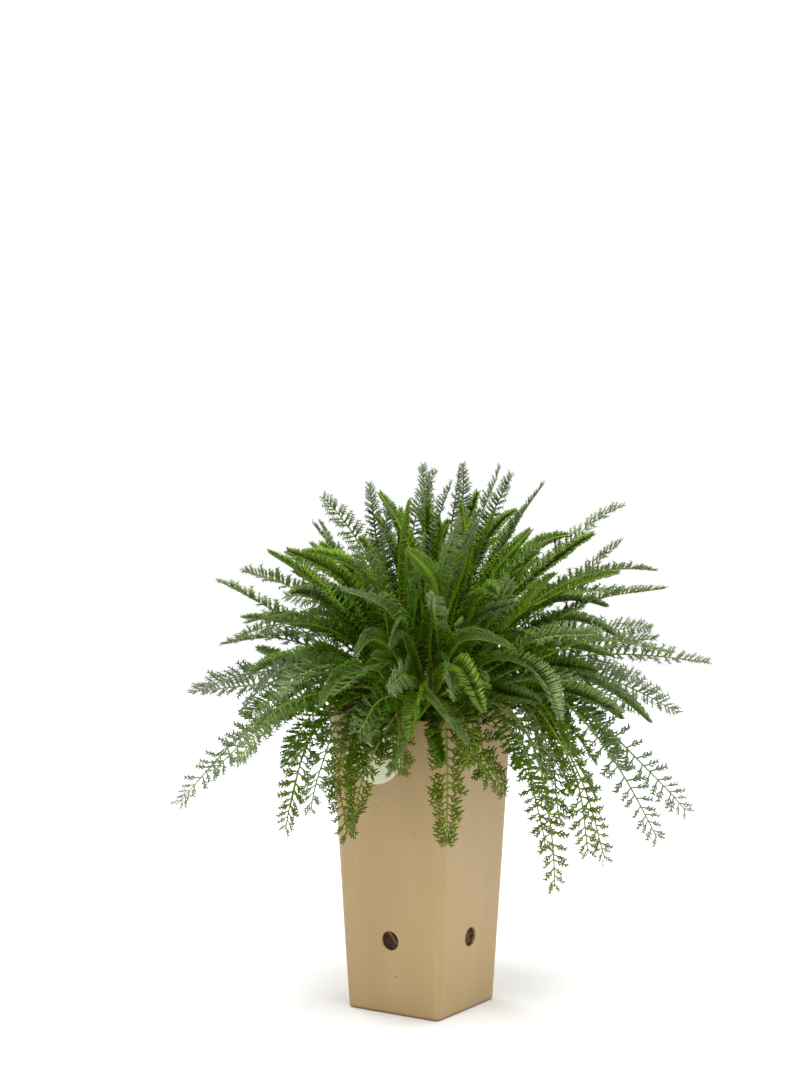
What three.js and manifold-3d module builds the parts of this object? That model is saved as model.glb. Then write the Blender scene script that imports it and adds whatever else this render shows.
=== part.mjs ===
// A yarrow plant in a tall square nursery pot: feathery leaves on a low crown, soil, pot and a round label.
// Millimetres and degrees, +Z up. The origin is the centre of the pot's foot, whose sides face +-X and +-Y.
import * as THREE from "three";
import { mergeVertices } from "three/addons/utils/BufferGeometryUtils.js";
import Module from "manifold-3d";

const wasm = await Module();
wasm.setup();

// ---- Driving dimensions -------------------------------------------------------------------------------

const POT = {
  height: 200,
  topSide: 93,
  footSide: 71,
  topCorner: 11,
  footCorner: 4,
  wall: 1.6,
  floor: 3,
  footEdge: 1.5, // the small chamfer round the foot
};
const CORNER_STEPS = 4; // straight steps round each upright corner
const DRAIN = { diameter: 13, height: 50, sides: 16 };
const SOIL = { top: 190, gap: 0.4 };
const LABEL = { diameter: 43, thickness: 0.4, gap: 0.3, height: 176, aside: -8, sides: 24 };

const SEED = 20817; // one seed for every random draw
const FRONT = -57; // the plant's best side, degrees from +X; bearings below are counted from it
const CROWN = { x: 6, y: 4 }; // where the leaf bases gather, a little off the pot's centre
const SPREAD_FROM = { x: 11, y: 7 }; // the point on the soil that the leaves fan out from, towards light

// A leaf's stalk and midrib: a three-sided rib that starts slim in its sheath and thins towards the tip.
const RIB = { rootThick: 0.8, width: 1.7, tipWidth: 1, depth: 1.5, tipDepth: 0.8 };
const STALK_SHARE = 0.26; // the bare lower part of a leaf
const LEAFLET = { spacing: 32, least: 2, sweep: 0.45, rise: 22 };
const SHEATH = { rootRadius: 2, topRadius: 1.9, depth: 9, above: 3, sides: 3, start: 1.2 };
const HOLE = { gap: 0.7, extraDepth: 0.4 };
// How leaflets keep clear: the room round ribs and leaflets, the gap between them and to the pot, the step
// along a rib, how far a leaflet shrinks at each try, and the size of a search cell.
const CLEAR = { rib: 1.8, leaflet: 1.1, gap: 0.4, pot: 1.2, ribStep: 2, shrink: 0.82, cell: 7 };
// How steeply leaves start: the tilt for a level leaf, the share of a leaf's own tilt that is added where
// it rises or falls, and the share of a lift that bends it clear.
const LAUNCH = { tilt: 50, upShare: 0.42, downShare: 0.05, liftShare: 0.5 };
const HANDLE = 2 / 3; // how far a bend's handles go from its ends towards its shoulder
// How a leaf is bent clear of its neighbours: the steps that stand for its line, the least distance to
// another base's leaves and to the pot, the stalk that may be nearer the soil, and the turns and lifts that
// it tries.
const BENT_CLEAR = {
  steps: 100,
  gap: 3.2,
  potGap: 3,
  freeStalk: 7,
  turns: [0, 6, -6, 12, -12, 18, -18],
  lifts: [0, 7, -7, 14, -14, 21, 28],
};

// Rings of leaf bases, from the edge of the crown inwards. Each base holds a leaf of every age, as far as
// there is room, and the late ones grow when all the bases have the others. A leaf is given by where its tip
// goes: its tilt above the horizontal and its reach, both from where the leaves fan out, and its angle aside
// of its base. Its bend says how far out it carries its launch, as a share of its span, and longest is the
// length of its longest leaflets. A ring's stalks have more steps where they bend over the pot's rim.
const AGES = ["older", "younger", "inner", "short", "late"];
const LATE = AGES.indexOf("late");
const NEST = { radius: 0.5, turns: [0, 180, -90, 90, 45] }; // where the ages stand round their base
const RINGS = [
  {
    name: "low",
    bases: 13,
    turn: 8,
    radius: 24,
    stalkSteps: 2,
    leaves: [
      { tilt: -37, reach: 138, aside: 0, bend: 0.7, longest: 11 },
      { tilt: -13, reach: 160, aside: 13, bend: 0.5, longest: 10.5 },
      { tilt: -30, reach: 100, aside: -9, bend: 0.85, longest: 9 },
      { tilt: -14, reach: 80, aside: 7, bend: 0.9, longest: 8.5 },
      { tilt: -6, reach: 74, aside: -3, bend: 0.9, longest: 8.5 },
    ],
  },
  {
    name: "outer",
    bases: 17,
    turn: 5,
    radius: 18,
    stalkSteps: 1,
    leaves: [
      { tilt: 5, reach: 168, aside: 0, bend: 0.5, longest: 9.5 },
      { tilt: 20, reach: 166, aside: 10, bend: 0.5, longest: 9 },
      { tilt: -14, reach: 122, aside: -8, bend: 0.7, longest: 9 },
      { tilt: 26, reach: 128, aside: 8, bend: 0.7, longest: 8.5 },
      { tilt: 8, reach: 132, aside: 3, bend: 0.6, longest: 9 },
    ],
  },
  {
    name: "middle",
    bases: 12,
    turn: 0,
    radius: 12,
    stalkSteps: 1,
    leaves: [
      { tilt: 36, reach: 168, aside: 0, bend: 0.5, longest: 9.5 },
      { tilt: 51, reach: 164, aside: 12, bend: 0.5, longest: 8.5 },
      { tilt: 44, reach: 150, aside: -12, bend: 0.6, longest: 8.5 },
      { tilt: 60, reach: 142, aside: 20, bend: 0.65, longest: 8 },
      { tilt: 34, reach: 144, aside: 6, bend: 0.6, longest: 8.5 },
    ],
  },
  {
    name: "upright",
    bases: 6,
    turn: 15,
    radius: 6,
    stalkSteps: 1,
    leaves: [
      { tilt: 67, reach: 164, aside: 0, bend: 0.5, longest: 8.5 },
      { tilt: 82, reach: 162, aside: 24, bend: 0.5, longest: 7.5 },
      { tilt: 68, reach: 148, aside: -20, bend: 0.6, longest: 8 },
      { tilt: 80, reach: 140, aside: 40, bend: 0.6, longest: 7.5 },
      { tilt: 72, reach: 144, aside: 10, bend: 0.6, longest: 8 },
    ],
  },
];
// How far each leaf strays from its ring's rule.
const SPREAD = {
  bearing: 3,
  tipBearing: 12,
  tilt: 8,
  reach: 0.1,
  sway: 15,
  roll: 70,
  launch: 10,
  bend: 0.08,
  curl: 18,
  swerve: 14,
};

// Leaves that their neighbours and the light have pushed aside: what sets each apart from its ring's rule.
const SETTLED = {
  "upright 2 older": { bearing: 80, tilt: 67, reach: 172 },
  "upright 2 younger": { bearing: 95, tilt: 77, reach: 174 },
  "upright 5 older": { bearing: -95, tilt: 73, reach: 165 },
  "upright 5 younger": { bearing: -85, tilt: 87, reach: 170 },
  "upright 6 older": { bearing: -60, tilt: 74, reach: 153 },
  "middle 3 older": { bearing: 70, tilt: 36, reach: 181 },
  "middle 3 younger": { bearing: 76, tilt: 50, reach: 190 },
  "middle 4 older": { bearing: 92, tilt: 31, reach: 172 },
  "middle 4 younger": { bearing: 100, tilt: 44, reach: 170 },
  "low 1 older": { bearing: 2, tilt: -41, reach: 100, bend: 1, roll: 10, longest: 13 },
  "low 1 younger": { bearing: 12, tilt: -14, reach: 95, bend: 0.7 },
  "low 1 inner": { bearing: 26, tilt: -22, reach: 92, longest: 10 },
  "low 1 short": { bearing: 10, tilt: -10, reach: 86, longest: 10 },
  "low 1 late": { bearing: -6, tilt: -8, reach: 80, longest: 10 },
  "low 2 older": { bearing: 55, tilt: -49, reach: 134, bend: 0.8, roll: 45 },
  "low 2 younger": { bearing: 33, tilt: -4, reach: 125, bend: 0.6 },
  "low 2 inner": { bearing: 62, tilt: -24, reach: 84 },
  "low 2 short": { bearing: 46, tilt: -12, reach: 72, longest: 10 },
  "low 2 late": { bearing: 36, tilt: -6, reach: 76, longest: 10 },
  "low 3 older": { bearing: 70, tilt: -39, reach: 131, bend: 0.8, roll: 60 },
  "low 3 younger": { bearing: 79, tilt: -27, reach: 162, bend: 0.6, roll: 65 },
  "low 3 short": { bearing: 78, tilt: -10, reach: 70, longest: 10 },
  "low 4 older": { bearing: 100, tilt: -41, reach: 149, roll: 75 },
  "low 4 younger": { bearing: 92, tilt: -21, reach: 175, roll: 70 },
  "low 10 older": { bearing: -95, tilt: -36, reach: 128, bend: 0.8, roll: -70 },
  "low 10 younger": { bearing: -86, tilt: -17, reach: 182, roll: -60 },
  "low 11 older": { bearing: -65, tilt: -37, reach: 107, bend: 0.9, roll: -50 },
  "low 11 younger": { bearing: -78, tilt: -11, reach: 156, roll: -60 },
  "low 12 older": { bearing: -50, tilt: -24, reach: 100, bend: 0.75, roll: -20 },
  "low 12 inner": { bearing: -58, tilt: -24, reach: 92 },
  "low 12 short": { bearing: -42, tilt: -18, reach: 80, longest: 10 },
  "low 12 late": { bearing: -34, tilt: -14, reach: 78, longest: 10 },
  "low 13 older": { bearing: -14, tilt: -8, reach: 110, bend: 0.6 },
  "low 13 younger": { bearing: -24, tilt: 6, reach: 135 },
  "low 13 inner": { bearing: -37, tilt: -29, reach: 112, bend: 0.75, roll: -20, longest: 11 },
  "low 13 short": { bearing: -24, tilt: -14, reach: 80, longest: 10 },
};

// ---- Helpers ------------------------------------------------------------------------------------------

const radians = THREE.MathUtils.degToRad;
const mix = THREE.MathUtils.lerp;
const UP = new THREE.Vector3(0, 0, 1);

// Park-Miller random numbers, so that the plant grows alike each time.
class Draw {
  constructor(seed) {
    this.state = seed;
  }
  next() {
    this.state = (this.state * 16807) % 2147483647;
    return this.state / 2147483647;
  }
  spread(size) {
    return (2 * this.next() - 1) * size;
  }
}

// A closed three.js geometry as a solid that can be joined and cut, and back.
function toSolid(geometry) {
  const bare = geometry.clone();
  bare.deleteAttribute("normal");
  bare.deleteAttribute("uv");
  const merged = mergeVertices(bare, 1e-4);
  return new wasm.Manifold(
    new wasm.Mesh({
      numProp: 3,
      vertProperties: new Float32Array(merged.attributes.position.array),
      triVerts: new Uint32Array(merged.index.array),
    }),
  );
}

function toGeometry(solid) {
  const mesh = solid.getMesh();
  const geometry = new THREE.BufferGeometry();
  geometry.setAttribute("position", new THREE.BufferAttribute(new Float32Array(mesh.vertProperties), 3));
  geometry.setIndex(new THREE.BufferAttribute(new Uint32Array(mesh.triVerts), 1));
  return geometry;
}

// A closed body through rings of equally many points, from the lowest ring to the highest.
function loft(rings) {
  const sides = rings[0].length;
  const points = rings.flat();
  const index = [];
  for (let r = 0; r + 1 < rings.length; r++) {
    for (let i = 0; i < sides; i++) {
      const a = r * sides + i;
      const b = r * sides + ((i + 1) % sides);
      index.push(a, b, b + sides, a, b + sides, a + sides);
    }
  }
  const last = (rings.length - 1) * sides;
  for (let i = 1; i + 1 < sides; i++) {
    index.push(0, i + 1, i);
    index.push(last, last + i, last + i + 1);
  }
  return new THREE.BufferGeometry().setFromPoints(points).setIndex(index);
}

// ---- Pot, soil and label ------------------------------------------------------------------------------

const potSide = (z) => mix(POT.footSide, POT.topSide, z / POT.height);
const potCorner = (z) => mix(POT.footCorner, POT.topCorner, z / POT.height);
const sideLean = Math.atan2((POT.topSide - POT.footSide) / 2, POT.height); // how far a side leans outwards

// The rounded square of the pot's outside at a height, moved inwards by inset.
function squareRing(z, inset) {
  const corner = Math.max(potCorner(z) - inset, 0.8);
  const reach = potSide(z) / 2 - inset - corner;
  const ring = [];
  for (let k = 0; k < 4; k++) {
    const centre = new THREE.Vector3(reach, reach, z).applyAxisAngle(UP, (k * Math.PI) / 2);
    for (let i = 0; i <= CORNER_STEPS; i++) {
      const turn = ((k + i / CORNER_STEPS) * Math.PI) / 2;
      ring.push(new THREE.Vector3(corner, 0, 0).applyAxisAngle(UP, turn).add(centre));
    }
  }
  return ring;
}

// A thin shell with a closed floor and a drain hole low in the middle of each side.
function makePot() {
  const foot = [squareRing(0, POT.footEdge), squareRing(POT.footEdge, 0)];
  const outside = loft([...foot, squareRing(POT.height, 0)]);
  const inside = loft([squareRing(POT.floor, POT.wall), squareRing(POT.height + 1, POT.wall)]);
  let pot = toSolid(outside).subtract(toSolid(inside));
  const radius = DRAIN.diameter / 2;
  for (const turn of [0, Math.PI / 2]) {
    const drill = new THREE.CylinderGeometry(radius, radius, 2 * POT.topSide, DRAIN.sides);
    drill.rotateZ(turn).translate(0, 0, DRAIN.height);
    pot = pot.subtract(toSolid(drill));
  }
  return toGeometry(pot);
}

// The root ball and soil that fill the pot, with a plain hole for each leaf base.
function makeSoil(bases) {
  const inset = POT.wall + SOIL.gap;
  let soil = toSolid(loft([squareRing(POT.floor + SOIL.gap, inset), squareRing(SOIL.top, inset)]));
  for (const base of bases) {
    const [top, bottom] = [SHEATH.topRadius + HOLE.gap, SHEATH.rootRadius + HOLE.gap];
    const height = 2 * (SHEATH.depth + HOLE.extraDepth);
    const hole = new THREE.CylinderGeometry(top, bottom, height, SHEATH.sides);
    hole.rotateX(Math.PI / 2).translate(base.root.x, base.root.y, SOIL.top);
    soil = soil.subtract(toSolid(hole));
  }
  return toGeometry(soil);
}

// The label's disc, on the side that faces -Y, leaning as the side does.
function placeLabel(mesh) {
  const lift = LABEL.gap + LABEL.thickness / 2;
  mesh.rotation.x = sideLean;
  mesh.position.set(LABEL.aside, -potSide(LABEL.height) / 2 - lift / Math.cos(sideLean), LABEL.height);
}

// ---- Leaves -------------------------------------------------------------------------------------------

// A unit vector at a bearing from the plant's front and a tilt above the horizontal.
function heading(bearing, tilt) {
  const turn = radians(FRONT + bearing);
  const out = Math.cos(radians(tilt));
  return new THREE.Vector3(out * Math.cos(turn), out * Math.sin(turn), Math.sin(radians(tilt)));
}

// Whether a point keeps a gap to the pot's wall and rim, and to the soil.
function isOffPot(point, gap) {
  const reach = Math.max(Math.abs(point.x), Math.abs(point.y));
  const half = potSide(point.z) / 2;
  const isAbove = point.z > POT.height + gap;
  const isOutside = reach > half + gap;
  const isOverSoil = reach < half - POT.wall - gap && point.z > SOIL.top + gap;
  return isAbove || isOutside || isOverSoil;
}

// How steeply a leaf leaves its sheath, from where its tip ends up.
const launchTilt = (tilt) => LAUNCH.tilt + tilt * (tilt > 0 ? LAUNCH.upShare : LAUNCH.downShare);

// A leaf's line from its root to its tip: it leaves along its launch, and its curl and swerve turn its tip.
function leafCurve(leaf, baseBearing, root, turn, lift) {
  const [tilt, bearing] = [leaf.tilt + lift, leaf.bearing + turn];
  const fanPoint = new THREE.Vector3(SPREAD_FROM.x, SPREAD_FROM.y, SOIL.top);
  const tip = fanPoint.addScaledVector(heading(bearing, tilt), leaf.reach);
  const launchBearing = mix(baseBearing, bearing, 0.5);
  const launch = heading(launchBearing, launchTilt(tilt) + leaf.launch + Math.abs(lift) * LAUNCH.liftShare);
  const shoulder = root
    .clone()
    .addScaledVector(launch, leaf.bend * tip.distanceTo(root))
    .addScaledVector(heading(launchBearing + 90, 0), leaf.sway);
  const approach = tip
    .clone()
    .lerp(shoulder, HANDLE)
    .addScaledVector(heading(bearing + 90, 0), leaf.swerve)
    .addScaledVector(UP, leaf.curl);
  return new THREE.CubicBezierCurve3(root, root.clone().lerp(shoulder, HANDLE), approach, tip);
}

// Whether a leaf's line keeps clear of the pot and of the lines of other bases.
function isLineClear(line, base, grown) {
  const isFree = (point) => point.distanceTo(line[0]) <= BENT_CLEAR.freeStalk;
  const others = grown.filter((leaf) => leaf.base !== base.name).flatMap((leaf) => leaf.line);
  const isApart = (point) => others.every((other) => other.distanceTo(point) >= BENT_CLEAR.gap);
  return line.every((point) => isFree(point) || isOffPot(point, BENT_CLEAR.potGap)) && line.every(isApart);
}

// A base's leaf of an age by its ring's rule, bent clear of the leaves that grew before it. It joins them,
// if there is room for it.
function growLeaf(draw, base, age, grown) {
  const rule = base.ring.leaves[age];
  const root = base.root.clone().addScaledVector(heading(base.bearing + NEST.turns[age], 0), NEST.radius);
  const leaf = {
    base: base.name,
    stalkSteps: base.ring.stalkSteps,
    tilt: rule.tilt + draw.spread(SPREAD.tilt),
    bearing: base.bearing + rule.aside + draw.spread(SPREAD.tipBearing),
    reach: rule.reach * (1 + draw.spread(SPREAD.reach)),
    sway: draw.spread(SPREAD.sway),
    roll: draw.spread(SPREAD.roll),
    launch: draw.spread(SPREAD.launch),
    bend: rule.bend + draw.spread(SPREAD.bend),
    curl: draw.spread(SPREAD.curl),
    swerve: draw.spread(SPREAD.swerve),
    longest: rule.longest,
    ...SETTLED[`${base.place} ${AGES[age]}`],
  };
  for (const lift of BENT_CLEAR.lifts) {
    for (const turn of BENT_CLEAR.turns) {
      const curve = leafCurve(leaf, base.bearing, root, turn, lift);
      const line = curve.getPoints(BENT_CLEAR.steps);
      if (isLineClear(line, base, grown)) {
        grown.push({ ...leaf, bearing: leaf.bearing + turn, curve, line });
        return;
      }
    }
  }
}

// The leaf's frame at a share of its length: a point, and the ways along, aside and up off its face.
function stationAt(leaf, share) {
  const along = leaf.curve.getTangentAt(share);
  const level = heading(leaf.bearing + 90, 0);
  const aside = level.addScaledVector(along, -level.dot(along)).normalize();
  aside.applyAxisAngle(along, radians(leaf.roll));
  const up = new THREE.Vector3().crossVectors(along, aside);
  return { point: leaf.curve.getPointAt(share), along, aside, up };
}

// How long the leaflets are at a share of the blade: short at its foot, long in the middle, blunt at its
// tip.
function leafletLength(leaf, share) {
  return leaf.longest * (0.4 + 0.6 * Math.sqrt(Math.sin(Math.PI * share ** 0.8)));
}

// The stations of a leaf: a few up its stalk, one for each step of leaflets up its blade, and its tip.
function leafStations(leaf) {
  const length = leaf.curve.getLength();
  const bladeSteps = Math.round((length * (1 - STALK_SHARE)) / LEAFLET.spacing);
  const shares = [];
  for (let i = 0; i < leaf.stalkSteps; i++) shares.push((STALK_SHARE * i) / leaf.stalkSteps);
  for (let i = 0; i <= bladeSteps; i++) shares.push(mix(STALK_SHARE, 1, i / (bladeSteps + 0.6)));
  shares.push(1);
  return { ...leaf, stations: shares.map((share) => stationAt(leaf, share)), bladeSteps, length };
}

// Where a leaflet's point lies, for a leaflet of a length on one side between two stations.
function leafletTip(leaf, step, side, length) {
  const low = leaf.stations[leaf.stalkSteps + step];
  const high = leaf.stations[leaf.stalkSteps + step + 1];
  const rise = radians(LEAFLET.rise);
  return low.point
    .clone()
    .lerp(high.point, 0.5)
    .addScaledVector(low.aside, side * length * Math.cos(rise))
    .addScaledVector(low.up, length * Math.sin(rise))
    .addScaledVector(low.along, length * LEAFLET.sweep);
}

// Points all over a leaflet that stand for its body when it is kept clear of others.
function leafletBody(leaf, step, side, length) {
  const low = leaf.stations[leaf.stalkSteps + step];
  const high = leaf.stations[leaf.stalkSteps + step + 1];
  const tip = leafletTip(leaf, step, side, length);
  const body = [tip];
  for (const across of [0, 1 / 3, 2 / 3, 1]) {
    const foot = low.point.clone().lerp(high.point, across);
    for (const share of [0.25, 0.5, 0.75]) body.push(foot.clone().lerp(tip, share));
  }
  return body;
}

// A coarse grid of the points that ribs and leaflets already take.
class TakenSpace {
  constructor() {
    const steps = [-1, 0, 1];
    this.cells = new Map();
    this.around = steps.flatMap((i) => steps.flatMap((j) => steps.map((k) => [i, j, k])));
  }
  keyOf(point, shift) {
    return point.toArray().map((value, axis) => Math.floor(value / CLEAR.cell) + shift[axis]).join();
  }
  add(point, radius, leaf) {
    const key = this.keyOf(point, [0, 0, 0]);
    if (!this.cells.has(key)) this.cells.set(key, []);
    this.cells.get(key).push({ point, radius, leaf });
  }
  isFree(point, radius, leaf) {
    const keepsClear = (other) =>
      other.leaf === leaf || other.point.distanceTo(point) >= other.radius + radius + CLEAR.gap;
    return this.around.every((shift) => (this.cells.get(this.keyOf(point, shift)) ?? []).every(keepsClear));
  }
}

// Leaflets grow to their full length, or as far as the pot and the leaves round them leave room.
function growLeaflets(leaves) {
  const taken = new TakenSpace();
  for (const leaf of leaves) {
    const steps = Math.ceil(leaf.length / CLEAR.ribStep);
    for (let i = 0; i <= steps; i++) taken.add(leaf.curve.getPointAt(i / steps), CLEAR.rib, leaf);
  }
  for (const leaf of leaves) {
    const isClear = (point) => isOffPot(point, CLEAR.pot) && taken.isFree(point, CLEAR.leaflet, leaf);
    leaf.leaflets = [];
    for (let step = 0; step < leaf.bladeSteps; step++) {
      for (const side of [1, -1]) {
        let length = leafletLength(leaf, (step + 0.5) / leaf.bladeSteps);
        while (length >= LEAFLET.least && !leafletBody(leaf, step, side, length).every(isClear)) {
          length *= CLEAR.shrink;
        }
        if (length < LEAFLET.least) continue;
        for (const point of leafletBody(leaf, step, side, length)) taken.add(point, CLEAR.leaflet, leaf);
        leaf.leaflets.push({ step, side, length });
      }
    }
  }
}

// One leaf as a closed body: a three-sided rib whose two lower sides rise into a pointed leaflet at each
// step.
function leafGeometry(leaf) {
  const points = [];
  const index = [];
  const count = leaf.stations.length;
  leaf.stations.slice(0, -1).forEach((station, i) => {
    const share = i / (count - 1);
    const half = (i === 0 ? RIB.rootThick : mix(RIB.width, RIB.tipWidth, share)) / 2;
    const depth = i === 0 ? RIB.rootThick : mix(RIB.depth, RIB.tipDepth, share);
    const top = station.point.clone().addScaledVector(station.up, depth / 3);
    points.push(top.clone().addScaledVector(station.aside, half));
    points.push(top.clone().addScaledVector(station.aside, -half));
    points.push(station.point.clone().addScaledVector(station.up, (-2 * depth) / 3));
  });
  const addFace = (a, b, c, d, leaflet) => {
    if (!leaflet) {
      index.push(a, b, c, a, c, d);
      return;
    }
    const peak = points.push(leafletTip(leaf, leaflet.step, leaflet.side, leaflet.length)) - 1;
    index.push(a, b, peak, b, c, peak, c, d, peak, d, a, peak);
  };
  for (let i = 0; i + 2 < count; i++) {
    const [left, right, keel] = [3 * i, 3 * i + 1, 3 * i + 2];
    const step = i - leaf.stalkSteps;
    const leafletOn = (side) => leaf.leaflets.find((l) => l.step === step && l.side === side);
    addFace(right, right + 3, left + 3, left);
    addFace(left, left + 3, keel + 3, keel, leafletOn(1));
    addFace(keel, keel + 3, right + 3, right, leafletOn(-1));
  }
  index.push(0, 2, 1);
  const end = 3 * (count - 2);
  const tip = points.push(leaf.stations[count - 1].point) - 1;
  index.push(end, end + 1, tip, end + 1, end + 2, tip, end + 2, end, tip);
  return new THREE.BufferGeometry().setFromPoints(points).setIndex(index);
}

// The short sheath that holds a base's leaves together and stands in its hole in the soil.
function sheathGeometry(root) {
  const height = SHEATH.depth + SHEATH.above;
  const sheath = new THREE.CylinderGeometry(SHEATH.topRadius, SHEATH.rootRadius, height, SHEATH.sides);
  return sheath.rotateX(Math.PI / 2).translate(root.x, root.y, SOIL.top - SHEATH.depth + height / 2);
}

// Every leaf base of the crown, ring by ring, with its leaves.
function growBases() {
  const draw = new Draw(SEED);
  const bases = [];
  const grown = [];
  for (const ring of RINGS) {
    for (let slot = 0; slot < ring.bases; slot++) {
      const name = `leaves_${ring.name}_${String(slot + 1).padStart(2, "0")}`;
      const turn = ring.turn + (360 * slot) / ring.bases;
      const bearing = (turn > 180 ? turn - 360 : turn) + draw.spread(SPREAD.bearing);
      const out = heading(bearing, 0).multiplyScalar(ring.radius);
      const root = new THREE.Vector3(CROWN.x + out.x, CROWN.y + out.y, SOIL.top + SHEATH.start);
      const base = { name, place: `${ring.name} ${slot + 1}`, ring, bearing, root };
      for (let age = 0; age < LATE; age++) growLeaf(draw, base, age, grown);
      bases.push(base);
    }
  }
  for (const base of bases) growLeaf(draw, base, LATE, grown);
  const leaves = grown.map(leafStations);
  growLeaflets(leaves);
  return bases.map((base) => ({ ...base, leaves: leaves.filter((leaf) => leaf.base === base.name) }));
}

// A base's sheath and its leaves as one solid, with the pockets filled that the stalks seal between them.
function makeLeaves(base) {
  const solids = base.leaves.map((leaf) => toSolid(leafGeometry(leaf)));
  const joined = solids.reduce((whole, leaf) => whole.add(leaf), toSolid(sheathGeometry(base.root)));
  const outside = joined.decompose().reduce((best, body) => (body.volume() > best.volume() ? body : best));
  return toGeometry(outside);
}

// ---- The plant ----------------------------------------------------------------------------------------

const finish = (color, roughness) => new THREE.MeshStandardMaterial({ color, roughness, metalness: 0 });
const POT_PLASTIC = finish(0xb89e74, 0.6);
const POTTING_SOIL = finish(0x3d2a1c, 0.95);
const LABEL_PAPER = finish(0xe4e4c8, 0.8);
const LEAF_GREEN = finish(0x4f6f2c, 0.7);

const plant = new THREE.Group();

function addPiece(name, geometry, material) {
  const mesh = new THREE.Mesh(geometry, material);
  mesh.name = name;
  plant.add(mesh);
  return mesh;
}

const bases = growBases();
const labelRadius = LABEL.diameter / 2;
const labelDisc = new THREE.CylinderGeometry(labelRadius, labelRadius, LABEL.thickness, LABEL.sides);
addPiece("pot", makePot(), POT_PLASTIC);
addPiece("soil", makeSoil(bases), POTTING_SOIL);
placeLabel(addPiece("label", labelDisc, LABEL_PAPER));
for (const base of bases) addPiece(base.name, makeLeaves(base), LEAF_GREEN);

export default plant;
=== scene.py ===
"""Finishes and fine surfaces of a potted yarrow plant: feathery leaves, soil, a square pot and a label.

Pieces are worked out in millimetres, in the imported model's frame: +Z up, the origin at the centre of the
pot's foot. They turn into metres when they become Blender objects.
"""

import logging
import math
from dataclasses import dataclass, field, replace
from enum import Enum
from itertools import combinations, product
from typing import Any

import bpy
import numpy as np
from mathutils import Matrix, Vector, noise


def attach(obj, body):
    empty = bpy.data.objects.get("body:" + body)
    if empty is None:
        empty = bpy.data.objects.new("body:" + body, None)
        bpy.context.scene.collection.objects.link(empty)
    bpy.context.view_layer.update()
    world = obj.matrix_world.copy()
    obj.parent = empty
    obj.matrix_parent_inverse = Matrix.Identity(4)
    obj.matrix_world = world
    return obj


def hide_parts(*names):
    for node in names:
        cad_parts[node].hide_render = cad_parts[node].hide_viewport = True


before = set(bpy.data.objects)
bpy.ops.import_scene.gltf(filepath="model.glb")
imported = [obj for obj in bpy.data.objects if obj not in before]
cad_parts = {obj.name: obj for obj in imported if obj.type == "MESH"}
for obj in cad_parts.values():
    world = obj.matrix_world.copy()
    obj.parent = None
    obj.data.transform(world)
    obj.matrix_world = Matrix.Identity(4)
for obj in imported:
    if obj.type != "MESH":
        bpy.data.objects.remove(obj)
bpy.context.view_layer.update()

LOG = logging.getLogger("yarrow")
MM = 0.001  # one millimetre in metres
CREASE = 35.0  # edges sharper than this, in degrees, stay sharp
DETAIL_SEED = 4211  # for the fine detail; the leaves' places have the seed of the solid leaves
SOIL_TOP = 190.0
CROWN = (6.0, 4.0)  # where the leaf bases gather, a little off the pot's centre
HEART = (*CROWN, SOIL_TOP + 2.0)  # the heart of the crown

Tree = bpy.types.NodeTree
Socket = bpy.types.NodeSocket


# ---- Helpers ------------------------------------------------------------------------------------------


def linear(code: str) -> tuple[float, float, float, float]:
    """Turns an sRGB hex colour to linear light.

    Args:
        code: The colour as "#rrggbb".

    Returns:
        Red, green, blue and alpha, from 0 to 1.
    """
    channels = [int(code[start : start + 2], 16) / 255 for start in (1, 3, 5)]
    light = [c / 12.92 if c <= 0.04045 else ((c + 0.055) / 1.055) ** 2.4 for c in channels]
    return (light[0], light[1], light[2], 1.0)


def metres(zone: tuple[float, float]) -> tuple[float, float]:
    """Turns a zone's two edges from millimetres to metres."""
    return (zone[0] * MM, zone[1] * MM)


def per_metre(spacing: float) -> float:
    """How often a pattern comes in a metre, from its spacing in millimetres."""
    return 1 / (spacing * MM)


def add_node(tree: Tree, kind: str, inputs: dict | None = None, **settings: Any) -> bpy.types.Node:
    """Adds a node with its settings and links.

    Args:
        tree: The node tree that gets it.
        kind: The node's type without its "ShaderNode" prefix.
        inputs: Its sockets by name or number, each a plain value or the output socket that feeds it.
        **settings: Its other properties by name.

    Returns:
        The new node.
    """
    node = tree.nodes.new("ShaderNode" + kind)
    for name, value in settings.items():
        setattr(node, name, value)
    for name, value in (inputs or {}).items():
        if isinstance(value, Socket):
            tree.links.new(value, node.inputs[name])
        else:
            node.inputs[name].default_value = value
    return node


def start_finish(name: str) -> tuple[bpy.types.Material, Tree, Socket]:
    """Starts a finish.

    Args:
        name: What the surface is.

    Returns:
        The material, its node tree and the socket of a point's place on the piece, in metres.
    """
    material = bpy.data.materials.new(name)
    material.use_nodes = True
    tree = material.node_tree
    tree.nodes.clear()
    return material, tree, add_node(tree, "TexCoord").outputs["Object"]


def paint(tree: Tree, ground: str, layers: tuple[tuple[Socket, tuple[float, float], str], ...]) -> Socket:
    """Lays colours over one another.

    Args:
        tree: The node tree.
        ground: The lowest colour.
        layers: For each colour above it, from the lowest: a pattern, the pattern's values where the colour
            covers nothing and everything, and the colour.

    Returns:
        The socket of what shows.
    """
    colour = linear(ground)
    for pattern, (none, full), code in layers:
        limits = {"Value": pattern, "From Min": none, "From Max": full}
        share = add_node(tree, "MapRange", limits).outputs["Result"]
        sockets = {0: share, 6: colour, 7: linear(code)}
        colour = add_node(tree, "Mix", sockets, data_type="RGBA").outputs[2]
    return colour


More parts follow.
